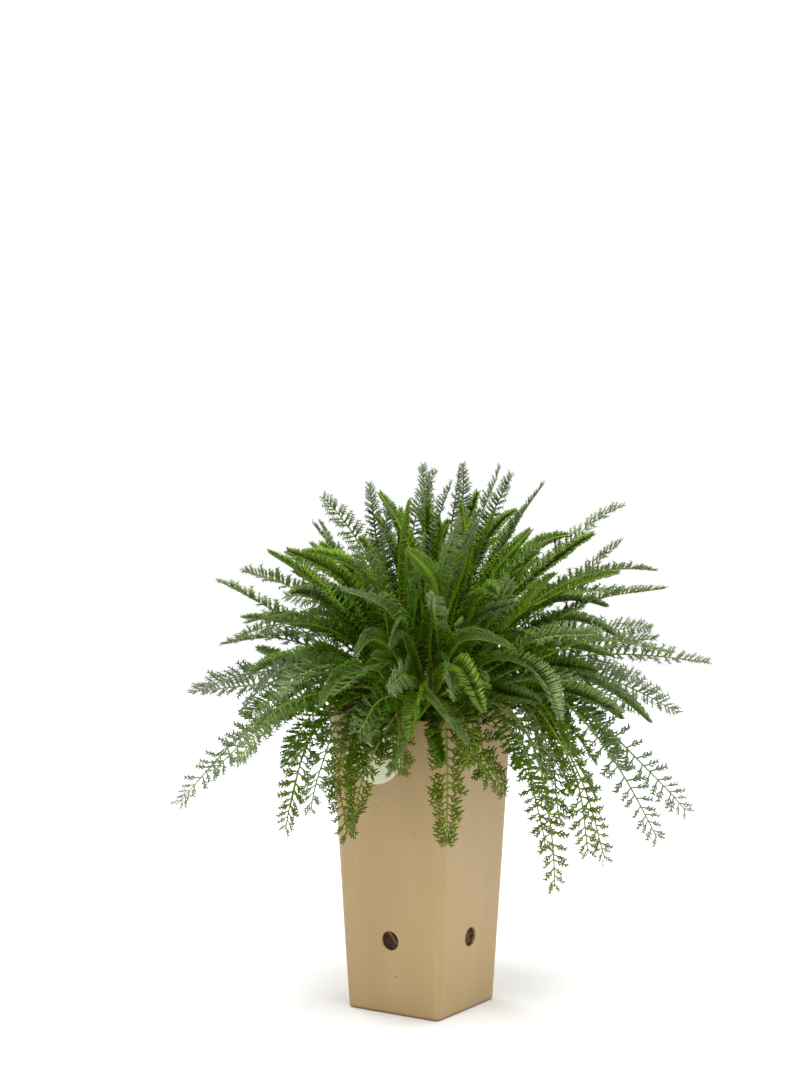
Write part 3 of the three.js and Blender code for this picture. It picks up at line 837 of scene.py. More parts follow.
@dataclass(frozen=True)
class LeafletCut:
    """How a leaflet is cut into lobes. Lengths and widths are shares of its length, angles degrees."""

    lobes: int  # on each side
    lobe_length: float
    angle: float
    width: float
    forked: int = 0  # how many of the lowest lobes carry a tooth of their own
    taper: float = 0.5  # how much shorter the last lobes are than the first
    pale: float = 0.0  # painted highlight on the lobes' tips, where hairs catch the light, as a paleness
    first: float = 0.14  # where the lobes start
    last: float = 0.9  # and end
    curl: float = 20.0  # how far lobes stand out of the leaflet's plane
    spiked: bool = False  # lobes are short plain spikes
    thickness: float = 0.05
    arch: float = 0.05  # how far the leaflet's middle stands up
    lag: float = 0.35  # how far the lobes of its lower edge come after those of the upper, in lobes
    tooth_turn: float = 40.0
    tooth_length: float = 0.5  # a share of its lobe's length
    tooth_width: float = 0.8  # a share of its lobe's width
    tooth_place: float = 0.45  # how far along its lobe it starts

    def blade(
        self, start: np.ndarray, end: np.ndarray, width: float, sag: float = 0.0, rings: int = 2
    ) -> np.ndarray:
        """One pointed lobe with a flat back and a ridge: a ring or two, and a tip.

        Args:
            start: Its foot.
            end: Its tip.
            width: Its width in the middle.
            sag: How far its middle bends down.
            rings: How many rings it has.

        Returns:
            Its points.
        """
        way = unit(end - start)
        side = unit(np.cross([0.0, 0.0, 1.0], way))
        up = np.cross(way, side)
        points = []
        for share, wide in ((0.0, 0.75), (0.5, 1.0))[:rings]:
            centre = start + (end - start) * share - np.array([0, 0, sag]) * 4 * share * (1 - share)
            for across, lift in ((0.5, -1 / 3), (0.0, 2 / 3), (-0.5, -1 / 3)):
                points.append(centre + side * across * width * wide + up * lift * self.thickness * wide)
        return np.array([*points, end])

    def axis(self, share: float, bow: float) -> np.ndarray:
        """The point at a share of a leaflet's own rib, which bows towards the leaf's tip."""
        return np.array([share, bow * share**2, self.arch * math.sin(math.pi * share)])

    def rib(self, bow: float) -> list[Shell]:
        """The leaflet's own rib: one blade, or two that overlap where the lobes are leafy.

        Args:
            bow: How far its tip bows.

        Returns:
            Its shells.
        """
        # The rib's foot is pale; its tip takes the lobes' painted highlight.
        blades = [(0.0, 1.0 if self.spiked else 0.55, 1.2, (0.5, 0.1, self.pale))]
        if not self.spiked:
            blades.append((0.4, 1.0, 1.1, (0.3, 0.1, 0.0)))
        shells = []
        for start, end, wide, pale in blades:
            points = self.blade(self.axis(start, bow), self.axis(end, bow), wide * self.width)
            shells.append((points, np.repeat(pale, (3, 3, 1))))
        return shells

    def lobe(self, index: int, edge: int, bow: float, rng: np.random.Generator) -> list[Shell]:
        """One lobe, with its tooth if it is forked.

        Args:
            index: Its number on its edge.
            edge: 1 on the edge towards the leaf's tip, -1 on the other.
            bow: How far the leaflet's tip bows.
            rng: The random draws that vary it.

        Returns:
            Its shells.
        """
        rings = 1 if self.spiked else 2
        span = self.last - self.first
        along = self.first + span * (index + (0.0 if edge > 0 else self.lag)) / self.lobes
        along += rng.uniform(-0.02, 0.02)
        fade = 1 - self.taper * (along - self.first) / span
        length = self.lobe_length * fade * rng.uniform(0.8, 1.2) * (1.0 if edge > 0 else 0.88)
        turn = math.radians(self.angle + rng.uniform(-8, 8)) * edge
        lift = math.radians(rng.uniform(-0.7, 1.0) * self.curl)
        way = np.array([math.cos(turn) * math.cos(lift), math.sin(turn) * math.cos(lift), math.sin(lift)])
        start = self.axis(along, bow)
        end = start + way * length
        points = self.blade(start, end, self.width, -0.03 * length, rings)
        # The lobe's middle ring and tip take the painted highlight of its hairs.
        shells = [(points, np.repeat((0.0, self.pale), (3, len(points) - 3)))]
        if index < self.forked:
            fork = turn - edge * math.radians(self.tooth_turn)
            way = np.array([math.cos(fork), math.sin(fork), math.sin(lift)])
            middle = start + (end - start) * self.tooth_place
            tip = middle + way * self.tooth_length * length
            tooth = self.blade(middle, tip, self.tooth_width * self.width, rings=rings)
            shells.append((tooth, np.zeros(len(tooth))))
        return shells

    def template(self, rng: np.random.Generator) -> tuple[np.ndarray, np.ndarray, np.ndarray]:
        """One leaflet of length 1 along +X, its +Y edge towards the leaf's tip and +Z its upper face.

        Args:
            rng: The random draws that vary it.

        Returns:
            Its points, its triangles and how pale each point is.
        """
        bow = rng.uniform(0.02, 0.14)
        shells = self.rib(bow)
        for index, edge in product(range(self.lobes), (1, -1)):
            shells += self.lobe(index, edge, bow, rng)
        starts = np.cumsum([0] + [len(points) for points, _ in shells])
        faces = [shell_faces(len(points) // 3, 3) + start for (points, _), start in zip(shells, starts)]
        points, paleness = (np.concatenate(parts) for parts in zip(*shells))
        return points, np.concatenate(faces), paleness


@dataclass(frozen=True)
class LeafletRows:
    """How the leaflets sit on a kind of leaf. Lengths are millimetres, angles are degrees."""

    cut: LeafletCut
    spacing: float
    rise: float  # how far the two rows rise into a V
    stretch: float  # leaflet length against the solid leaf's
    ruffle: float  # how far single leaflets leave their row
    sweep: float = 0.15  # how far they lean towards the leaf's tip
    spin: float = 24.0  # how far single leaflets turn about their own axis
    uneven: float = 0.15  # how much their lengths differ
    taper: float = 0.6  # how much shorter they are at the leaf's very tip
    wave: float = 4.0  # how far the midrib wanders
    twist: float = 24.0  # how far the blade turns along its length, either way


class Habit(Enum):
    """The kinds of leaf, from the crown's heart outwards and down over the pot."""

    FEATHERY = LeafletRows(
        LeafletCut(2, 0.34, 46, 0.2, spiked=True, taper=0.1, first=0.38, last=1.0, curl=36, pale=0.35),
        spacing=1.45,
        rise=42,
        stretch=0.95,
        ruffle=6,
        sweep=0.2,
        spin=10,
        uneven=0.07,
    )
    COMBED = LeafletRows(
        LeafletCut(3, 0.36, 50, 0.18, spiked=True, taper=0.2, first=0.28, last=1.0, curl=42, pale=0.3),
        spacing=3.0,
        rise=26,
        stretch=0.95,
        ruffle=18,
        uneven=0.16,
    )
    LACY = LeafletRows(
        LeafletCut(4, 0.4, 48, 0.14, 2, spiked=True, taper=0.35, first=0.2, last=1.0, curl=34, pale=0.25),
        spacing=4.5,
        rise=20,
        stretch=1.12,
        ruffle=14,
        spin=18,
        uneven=0.14,
    )
    OPEN = LeafletRows(
        LeafletCut(3, 0.4, 42, 0.088, 1, first=0.26, curl=16),
        spacing=7.8,
        rise=8,
        stretch=1.1,
        ruffle=10,
        taper=0.4,
    )
    BROAD = LeafletRows(
        LeafletCut(3, 0.5, 48, 0.1, 1, first=0.18, curl=25),
        spacing=4.8,
        rise=14,
        stretch=0.94,
        ruffle=14,
        taper=0.5,
    )


# ---- Where the leaves go ------------------------------------------------------------------------------

SEED = 20817  # the solid leaves' seed
FRONT = -57.0  # the plant's best side, degrees from +X; bearings are counted from it
SPREAD_FROM = (11.0, 7.0, SOIL_TOP)  # the point on the soil that the leaves fan out from, towards the light
SHEATH_START = 1.2  # how far above the soil a leaf's line starts
STALK_SHARE = 0.26  # the bare lower part of a leaf
AGES = ("older", "younger", "inner", "short", "late")  # a base's leaves, in the order they grow
LATE = AGES.index("late")  # grows where there is room, when all the bases have the others
NEST_RADIUS = 0.5  # from a base's middle to where its leaves start
NEST_TURNS = (0, 180, -90, 90, 45)  # where each age stands round that middle
# How steeply leaves start: the tilt for a level leaf, the share of a leaf's own tilt that is added where
# it rises or falls, and the share of a lift that bends it clear.
LAUNCH_TILT, UP_SHARE, DOWN_SHARE, LIFT_SHARE = 50, 0.42, 0.05, 0.5
BASE_SPREAD = 3.0  # how far a base strays from its place in its ring, in degrees
# How far each leaf strays from its ring's rule, in the order of the draws.
LEAF_SPREAD = {
    "tilt": 8.0,
    "bearing": 12.0,
    "reach": 0.1,  # a share of its reach
    "sway": 15.0,
    "roll": 70.0,
    "launch": 10.0,
    "bend": 0.08,
    "curl": 18.0,
    "swerve": 14.0,
}
# How a leaf is bent clear of its neighbours: the steps that stand for its line, the least distance to another
# base's leaves and to the pot, the stalk that is left out, and the turns and lifts that it tries in degrees.
LINE_STEPS, LINE_GAP, POT_GAP, FREE_STALK = 100, 3.2, 3.0, 7.0
TURNS = (0, 6, -6, 12, -12, 18, -18)
LIFTS = (0, 7, -7, 14, -14, 21, 28)
# Lines are compared in full only where every tenth point of one comes within this room of the other's.
COARSE_STEP, COARSE_ROOM = 10, 30.0


class Draw:
    """Park-Miller random numbers, which put each leaf where its solid is."""

    def __init__(self, seed: int) -> None:
        """Starts from a seed."""
        self.state = seed

    def spread(self, size: float) -> float:
        """Draws a number between -size and size."""
        self.state = self.state * 16807 % 2147483647
        return (2 * self.state / 2147483647 - 1) * size


@dataclass(frozen=True)
class LeafRule:
    """Where a ring's leaves of one age go, and what they look like. See LeafPlan for the words."""

    tilt: float
    reach: float
    aside: float  # of their base's bearing, in degrees
    bend: float
    longest: float
    growth: Growth
    habit: Habit


@dataclass(frozen=True)
class Ring:
    """A ring of leaf bases, each with leaves of every age."""

    name: str
    bases: int
    turn: float  # the first base's bearing
    radius: float
    leaves: tuple[LeafRule, ...]


RINGS = (
    Ring(
        "low",
        bases=13,
        turn=8.0,
        radius=24.0,
        leaves=(
            LeafRule(-37, 138, 0, 0.7, 11, Growth.SHADED, Habit.OPEN),
            LeafRule(-13, 160, 13, 0.5, 10.5, Growth.WEATHERED, Habit.OPEN),
            LeafRule(-30, 100, -9, 0.85, 9, Growth.SHADED, Habit.BROAD),
            LeafRule(-14, 80, 7, 0.9, 8.5, Growth.SHADED, Habit.COMBED),
            LeafRule(-6, 74, -3, 0.9, 8.5, Growth.FULL, Habit.FEATHERY),
        ),
    ),
    Ring(
        "outer",
        bases=17,
        turn=5.0,
        radius=18.0,
        leaves=(
            LeafRule(5, 168, 0, 0.5, 9.5, Growth.WEATHERED, Habit.LACY),
            LeafRule(20, 166, 10, 0.5, 9, Growth.FULL, Habit.LACY),
            LeafRule(-14, 122, -8, 0.7, 9, Growth.FULL, Habit.COMBED),
            LeafRule(26, 128, 8, 0.7, 8.5, Growth.FULL, Habit.FEATHERY),
            LeafRule(8, 132, 3, 0.6, 9, Growth.FULL, Habit.FEATHERY),
        ),
    ),
    Ring(
        "middle",
        bases=12,
        turn=0.0,
        radius=12.0,
        leaves=(
            LeafRule(36, 168, 0, 0.5, 9.5, Growth.FULL, Habit.COMBED),
            LeafRule(51, 164, 12, 0.5, 8.5, Growth.FULL, Habit.LACY),
            LeafRule(44, 150, -12, 0.6, 8.5, Growth.YOUNG, Habit.FEATHERY),
            LeafRule(60, 142, 20, 0.65, 8, Growth.YOUNG, Habit.FEATHERY),
            LeafRule(34, 144, 6, 0.6, 8.5, Growth.FULL, Habit.FEATHERY),
        ),
    ),
    Ring(
        "upright",
        bases=6,
        turn=15.0,
        radius=6.0,
        leaves=(
            LeafRule(67, 164, 0, 0.5, 8.5, Growth.WEATHERED, Habit.COMBED),
            LeafRule(82, 162, 24, 0.5, 7.5, Growth.WEATHERED, Habit.COMBED),
            LeafRule(68, 148, -20, 0.6, 8, Growth.YOUNG, Habit.FEATHERY),
            LeafRule(80, 140, 40, 0.6, 7.5, Growth.YOUNG, Habit.FEATHERY),
            LeafRule(72, 144, 10, 0.6, 8, Growth.YOUNG, Habit.FEATHERY),
        ),
    ),
)


@dataclass(frozen=True)
class Settled:
    """What sets a leaf apart from its rule: its tip's bearing, tilt and reach, and what else is named."""

    bearing: float | None = None
    tilt: float | None = None
    reach: float | None = None
    bend: float | None = None
    roll: float | None = None
    longest: float | None = None
    growth: Growth | None = None
    habit: Habit | None = None

    def changes(self) -> dict[str, Any]:
        """The values that it sets, by name."""
        return {name: value for name, value in vars(self).items() if value is not None}


# Leaves that their neighbours and the light have pushed aside or kept fresher, by ring, base and age.
SETTLED = {
    "outer 1 older": Settled(growth=Growth.YOUNG, habit=Habit.FEATHERY),
    "outer 2 older": Settled(growth=Growth.FULL, habit=Habit.FEATHERY),
    "outer 3 older": Settled(growth=Growth.FULL),
    "outer 16 older": Settled(growth=Growth.FULL),
    "outer 17 older": Settled(growth=Growth.YOUNG, habit=Habit.FEATHERY),
    "upright 2 older": Settled(80, 67, 172),
    "upright 2 younger": Settled(95, 77, 174),
    "upright 5 older": Settled(-95, 73, 165),
    "upright 5 younger": Settled(-85, 87, 170),
    "upright 6 older": Settled(-60, 74, 153),
    "middle 3 older": Settled(70, 36, 181),
    "middle 3 younger": Settled(76, 50, 190),
    "middle 4 older": Settled(92, 31, 172),
    "middle 4 younger": Settled(100, 44, 170),
    "low 1 older": Settled(2, -41, 100, bend=1, roll=10, longest=13, habit=Habit.BROAD),
    "low 1 younger": Settled(12, -14, 95, bend=0.7, growth=Growth.FULL),
    "low 1 inner": Settled(26, -22, 92, longest=10),
    "low 1 short": Settled(10, -10, 86, longest=10),
    "low 1 late": Settled(-6, -8, 80, longest=10),
    "low 2 older": Settled(55, -49, 134, bend=0.8, roll=45),
    "low 2 younger": Settled(33, -4, 125, bend=0.6),
    "low 2 inner": Settled(62, -24, 84),
    "low 2 short": Settled(46, -12, 72, longest=10),
    "low 2 late": Settled(36, -6, 76, longest=10),
    "low 3 older": Settled(70, -39, 131, bend=0.8, roll=60),
    "low 3 younger": Settled(79, -27, 162, bend=0.6, roll=65),
    "low 3 short": Settled(78, -10, 70, longest=10),
    "low 4 older": Settled(100, -41, 149, roll=75),
    "low 4 younger": Settled(92, -21, 175, roll=70),
    "low 10 older": Settled(-95, -36, 128, bend=0.8, roll=-70),
    "low 10 younger": Settled(-86, -17, 182, roll=-60),
    "low 11 older": Settled(-65, -37, 107, bend=0.9, roll=-50),
    "low 11 younger": Settled(-78, -11, 156, roll=-60),
    "low 12 older": Settled(-50, -24, 100, bend=0.75, roll=-20, habit=Habit.BROAD),
    "low 12 inner": Settled(-58, -24, 92),
    "low 12 short": Settled(-42, -18, 80, longest=10),
    "low 12 late": Settled(-34, -14, 78, longest=10),
    "low 13 older": Settled(-14, -8, 110, bend=0.6, habit=Habit.BROAD),
    "low 13 younger": Settled(-24, 6, 135, growth=Growth.FULL),
    "low 13 inner": Settled(-37, -29, 112, bend=0.75, roll=-20, longest=11),
    "low 13 short": Settled(-24, -14, 80, longest=10),
}


def heading(bearing: float, tilt: float) -> np.ndarray:
    """Points a unit vector at a bearing from the plant's front and a tilt above level, in degrees."""
    turn, lift = math.radians(FRONT + bearing), math.radians(tilt)
    return np.array([math.cos(lift) * math.cos(turn), math.cos(lift) * math.sin(turn), math.sin(lift)])


def bezier(handles: np.ndarray, t: np.ndarray) -> np.ndarray:
    """Finds points of a cubic bend.

    Args:
        handles: Its root, launch, approach and tip, one a row.
        t: The places on it, from 0 to 1 in its own parameter.

    Returns:
        The points, one a row.
    """
    rest, t = 1 - t[:, None], t[:, None]
    root, launch, approach, tip = handles
    return rest**3 * root + 3 * rest**2 * t * launch + 3 * rest * t**2 * approach + t**3 * tip


def slope(handles: np.ndarray, t: np.ndarray) -> np.ndarray:
    """Finds which way a cubic bend goes.

    Args:
        handles: Its root, launch, approach and tip, one a row.
        t: The places on it, from 0 to 1 in its own parameter.

    Returns:
        A third of its derivative at each place, one a row.
    """
    rest, t = 1 - t[:, None], t[:, None]
    legs = np.diff(handles, axis=0)
    return rest**2 * legs[0] + 2 * rest * t * legs[1] + t**2 * legs[2]


@dataclass(frozen=True)
class LeafPlan:
    """Where one leaf goes, and what it looks like. Lengths are millimetres, angles are degrees."""

    tilt: float  # of its tip above the horizontal, seen from where the leaves fan out
    bearing: float  # of its tip, from the plant's front
    reach: float  # from where the leaves fan out to its tip
    sway: float  # how far aside its shoulder stands
    roll: float  # about its own line
    launch: float  # how much steeper than others it leaves its sheath
    bend: float  # how far out it carries its launch, as a share of its span
    curl: float  # how far up its line is drawn before the tip
    swerve: float  # and how far aside
    longest: float  # the length of its longest leaflets
    growth: Growth
    habit: Habit

    def handles(self, lift: float, turn: float, root: np.ndarray, base_bearing: float) -> np.ndarray:
        """Draws the leaf's line as a bend, moved away from its neighbours.

        Args:
            lift: How far its tip is lifted.
            turn: How far its tip is turned.
            root: Where it starts.
            base_bearing: Its base's bearing.

        Returns:
            The root, launch, approach and tip of the bend, one a row.
        """
        tilt, bearing = self.tilt + lift, self.bearing + turn
        tip = np.array(SPREAD_FROM) + heading(bearing, tilt) * self.reach
        launch_bearing = (base_bearing + bearing) / 2
        launch_tilt = LAUNCH_TILT + tilt * (UP_SHARE if tilt > 0 else DOWN_SHARE) + self.launch
        launch = heading(launch_bearing, launch_tilt + abs(lift) * LIFT_SHARE)
        shoulder = root + launch * self.bend * np.linalg.norm(tip - root)
        shoulder = shoulder + heading(launch_bearing + 90, 0) * self.sway
        aside = heading(bearing + 90, 0) * self.swerve
        # The bend's handles go two thirds of the way from its ends to its shoulder.
        approach = tip + (shoulder - tip) * 2 / 3 + aside + (0, 0, self.curl)
        return np.array([root, root + (shoulder - root) * 2 / 3, approach, tip])


# ---- Leaves -------------------------------------------------------------------------------------------


@dataclass(frozen=True)
class Midrib:
    """The shape of a leaf's midrib: grooved above, and widened into a clasping sheath at its root."""

    root_half: float = 1.0  # half its width, and its depth, at the root
    tip_half: float = 0.42
    sheath_half: float = 1.1  # how much the sheath adds to the width
    sheath_deep: float = 0.3  # and to the depth
    sheath_length: float = 7.0
    rings: int = 34
    crowding: float = 1.1  # how much closer its rings lie towards the root
    profile: tuple = ((1.0, 0.35), (0.0, 0.0), (-1.0, 0.35), (-0.72, -0.5), (0.0, -1.0), (0.72, -0.5))
    pale: tuple[float, float] = (0.3, 1.1)  # at the tip, and at the root before it is cut off at 1


MIDRIB = Midrib()
LINE_SAMPLES = 301  # points that measure a leaf's line
WANDER_WAVES = (2.0, 3.4)  # half waves of the midrib's wandering, over its length
# Leaflets go from just below the blade's foot to just short of the tip, closer together towards it.
FOOT_OVERLAP, TIP_MARGIN, CROWDING = 0.03, 0.01, 1.5
# Leaflet length over the blade: short at its foot, long in the middle, and short again at its very tip.
FOOT_SHAPE = ((0.0, 0.12, 0.3, 0.55), (0.4, 0.72, 0.95, 1.0))
TIP_SHAPE = ((0.55, 0.8, 0.92, 1.0), (0.0, 0.2, 0.52, 1.0))
FULLNESS = 1.14  # makes up for the cut: a fine leaflet's outline is narrower than a solid one's
TIP_SWEEP, END_SWEEP = 0.25, 0.9  # how much more leaflets lean forward up the blade, and at its very end


@dataclass
class Leaf:
    """One leaf: its line as a bend from its root to its tip, and its leaflets."""

    line: np.ndarray  # root, launch, approach and tip of the bend
    bearing: float
    plan: LeafPlan
    rng: np.random.Generator
    length: float = field(init=False)
    shares: np.ndarray = field(init=False)  # of the length, for each place of the grid
    grid: np.ndarray = field(init=False)  # places on the bend, from 0 to 1
    wander: np.ndarray = field(init=False)
    twist: float = field(init=False)

    def __post_init__(self) -> None:
        """Measures the line, so that places on it can be given as shares of its length."""
        self.grid = np.linspace(0, 1, LINE_SAMPLES)
        steps = np.linalg.norm(np.diff(bezier(self.line, self.grid), axis=0), axis=1)
        self.length = float(steps.sum())
        self.shares = np.concatenate([[0], np.cumsum(steps)]) / self.length
        self.wander = self.rng.uniform(-1, 1, (2, 2)) * self.rows.wave
        self.twist = self.rng.uniform(-1, 1) * self.rows.twist

    @property
    def rows(self) -> LeafletRows:
        """How its leaflets sit."""
        return self.plan.habit.value

    def frames(self, share: np.ndarray) -> tuple[np.ndarray, np.ndarray, np.ndarray, np.ndarray]:
        """The leaf's frame at shares of its length.

        Args:
            share: The shares, from 0 at the root to 1 at the tip.

        Returns:
            The points, and the ways along, aside and up off the leaf's face.
        """
        t = np.interp(share, self.shares, self.grid)
        along = unit(slope(self.line, t))
        level = heading(self.bearing + 90, 0)
        aside = unit(level - along * (along @ level)[:, None])
        roll = np.radians(self.plan.roll + self.twist * share)[:, None]
        aside = aside * np.cos(roll) + np.cross(along, aside) * np.sin(roll)
        up = np.cross(along, aside)
        swing = np.sin(np.outer(share, WANDER_WAVES) * math.pi) @ self.wander
        swell = (share * (1.15 - share))[:, None] * 2  # none at the root, less at the tip
        point = bezier(self.line, t) + swell * (aside * swing[:, :1] + up * swing[:, 1:])
        return point, along, aside, up

    def add_midrib(self, mesh: ShellMesh, slot: int) -> None:
        """Adds the grooved midrib.

        Args:
            mesh: The mesh that gets it.
            slot: The leaf's material slot.
        """
        share = np.linspace(0, 0.99, MIDRIB.rings) ** MIDRIB.crowding
        point, _, aside, up = self.frames(share)
        sheath = np.exp(-share * self.length / MIDRIB.sheath_length)
        half = MIDRIB.root_half * (1 - share) + MIDRIB.tip_half * share
        profile = np.array(MIDRIB.profile)
        across = profile[None, :, :1] * (half + MIDRIB.sheath_half * sheath)[:, None, None]
        lift = profile[None, :, 1:] * (half + MIDRIB.sheath_deep * sheath)[:, None, None]
        body = point[:, None, :] + aside[:, None, :] * across + up[:, None, :] * lift
        end = self.frames(np.array([1.0]))[0]
        tip_pale, root_pale = MIDRIB.pale
        pale = np.clip(root_pale - np.repeat(share, len(profile)), tip_pale, 1)
        points = np.concatenate([body.reshape(-1, 3), end])
        mesh.add(points, shell_faces(MIDRIB.rings, len(profile)), np.append(pale, tip_pale), slot)

    def leaflet_places(self) -> tuple[np.ndarray, np.ndarray]:
        """Spaces the leaflets out along the blade.

        Returns:
            Their places as shares of the blade, and their side of the midrib as 1 or -1.
        """
        pairs = round(self.length * (1 - STALK_SHARE) / self.rows.spacing)
        rows = np.repeat((np.arange(pairs) + 0.5) / pairs, 2)
        rows = np.clip(rows + self.rng.uniform(-0.3, 0.3, rows.size) / pairs, 0, 1)
        return CROWDING * rows - (CROWDING - 1) * rows**2, np.tile([1.0, -1.0], pairs)

    def leaflet_sizes(self, blade: np.ndarray) -> np.ndarray:
        """How long the leaflets are.

        Args:
            blade: Their places as shares of the blade.

        Returns:
            Their lengths.
        """
        shape = np.interp(blade, *FOOT_SHAPE) * (1 - self.rows.taper * np.interp(blade, *TIP_SHAPE))
        size = FULLNESS * self.plan.longest * self.rows.stretch * shape
        return size * (1 + self.rows.uneven * self.rng.uniform(-1, 1, blade.size))

    def leaflet_axes(self, blade: np.ndarray, edge: np.ndarray, frames: tuple[np.ndarray, ...]) -> np.ndarray:
        """Turns each leaflet to stand off its side of the midrib, with some disorder.

        Args:
            blade: Their places as shares of the blade.
            edge: Their side of the midrib as 1 or -1.
            frames: The ways along, aside and up off the leaf's face at their places.

        Returns:
            For each leaflet three unit rows: its own way, the way to the leaf's tip, and off its upper face.
        """
        along, aside, up = frames
        stray = self.rng.uniform(-1, 1, blade.size)
        rise = np.radians(self.rows.rise + stray * self.rows.ruffle)[:, None]
        sweep = (self.rows.sweep + TIP_SWEEP * blade + END_SWEEP * blade**10)[:, None]
        way = aside * edge[:, None] * np.cos(rise) + up * np.sin(rise) + along * sweep
        way = unit(way + self.rng.uniform(-0.1, 0.1, way.shape))
        forward = unit(along - way * np.sum(along * way, axis=1, keepdims=True))
        lift = np.cross(way, forward) * edge[:, None]
        spin = np.radians(self.rng.uniform(-1, 1, blade.size) * self.rows.spin)[:, None]
        face = lift * np.cos(spin) + forward * np.sin(spin)
        forward = forward * np.cos(spin) - lift * np.sin(spin)
        return np.stack([way, forward, face], axis=1)

    def add_leaflets(self, mesh: ShellMesh, templates: list, slot: int) -> None:
        """Adds the two rows of leaflets.

        Args:
            mesh: The mesh that gets them.
            templates: The leaflet shapes to pick from.
            slot: The leaf's material slot.
        """
        blade, edge = self.leaflet_places()
        foot = STALK_SHARE - FOOT_OVERLAP
        point, *frames = self.frames(foot + (1 - TIP_MARGIN - foot) * blade)
        sizes = self.leaflet_sizes(blade)
        axes = self.leaflet_axes(blade, edge, tuple(frames)) * sizes[:, None, None]
        pick = self.rng.integers(0, len(templates), blade.size)
        for (index, (shape, faces, pale)), side in product(enumerate(templates), (1.0, -1.0)):
            chosen = np.flatnonzero((pick == index) & (edge == side))
            if chosen.size:
                made = shape[None] @ axes[chosen] + point[chosen][:, None, :]
                turned = faces if side > 0 else faces[:, ::-1]
                offsets = (np.arange(chosen.size) * len(shape))[:, None, None]
                stacked = (turned[None] + offsets).reshape(-1, 3)
                mesh.add(made.reshape(-1, 3), stacked, np.tile(pale, chosen.size), slot)


@dataclass
class Base:
    """A leaf base, from which a few leaves of different ages grow."""

    ring: Ring
    slot: int
    bearing: float
    root: np.ndarray
    leaves: list[Leaf] = field(default_factory=list)
    lines: list[np.ndarray] = field(default_factory=list)

    @property
    def node(self) -> str:
        """The name of its solid."""
        return f"leaves_{self.ring.name}_{self.slot + 1:02d}"


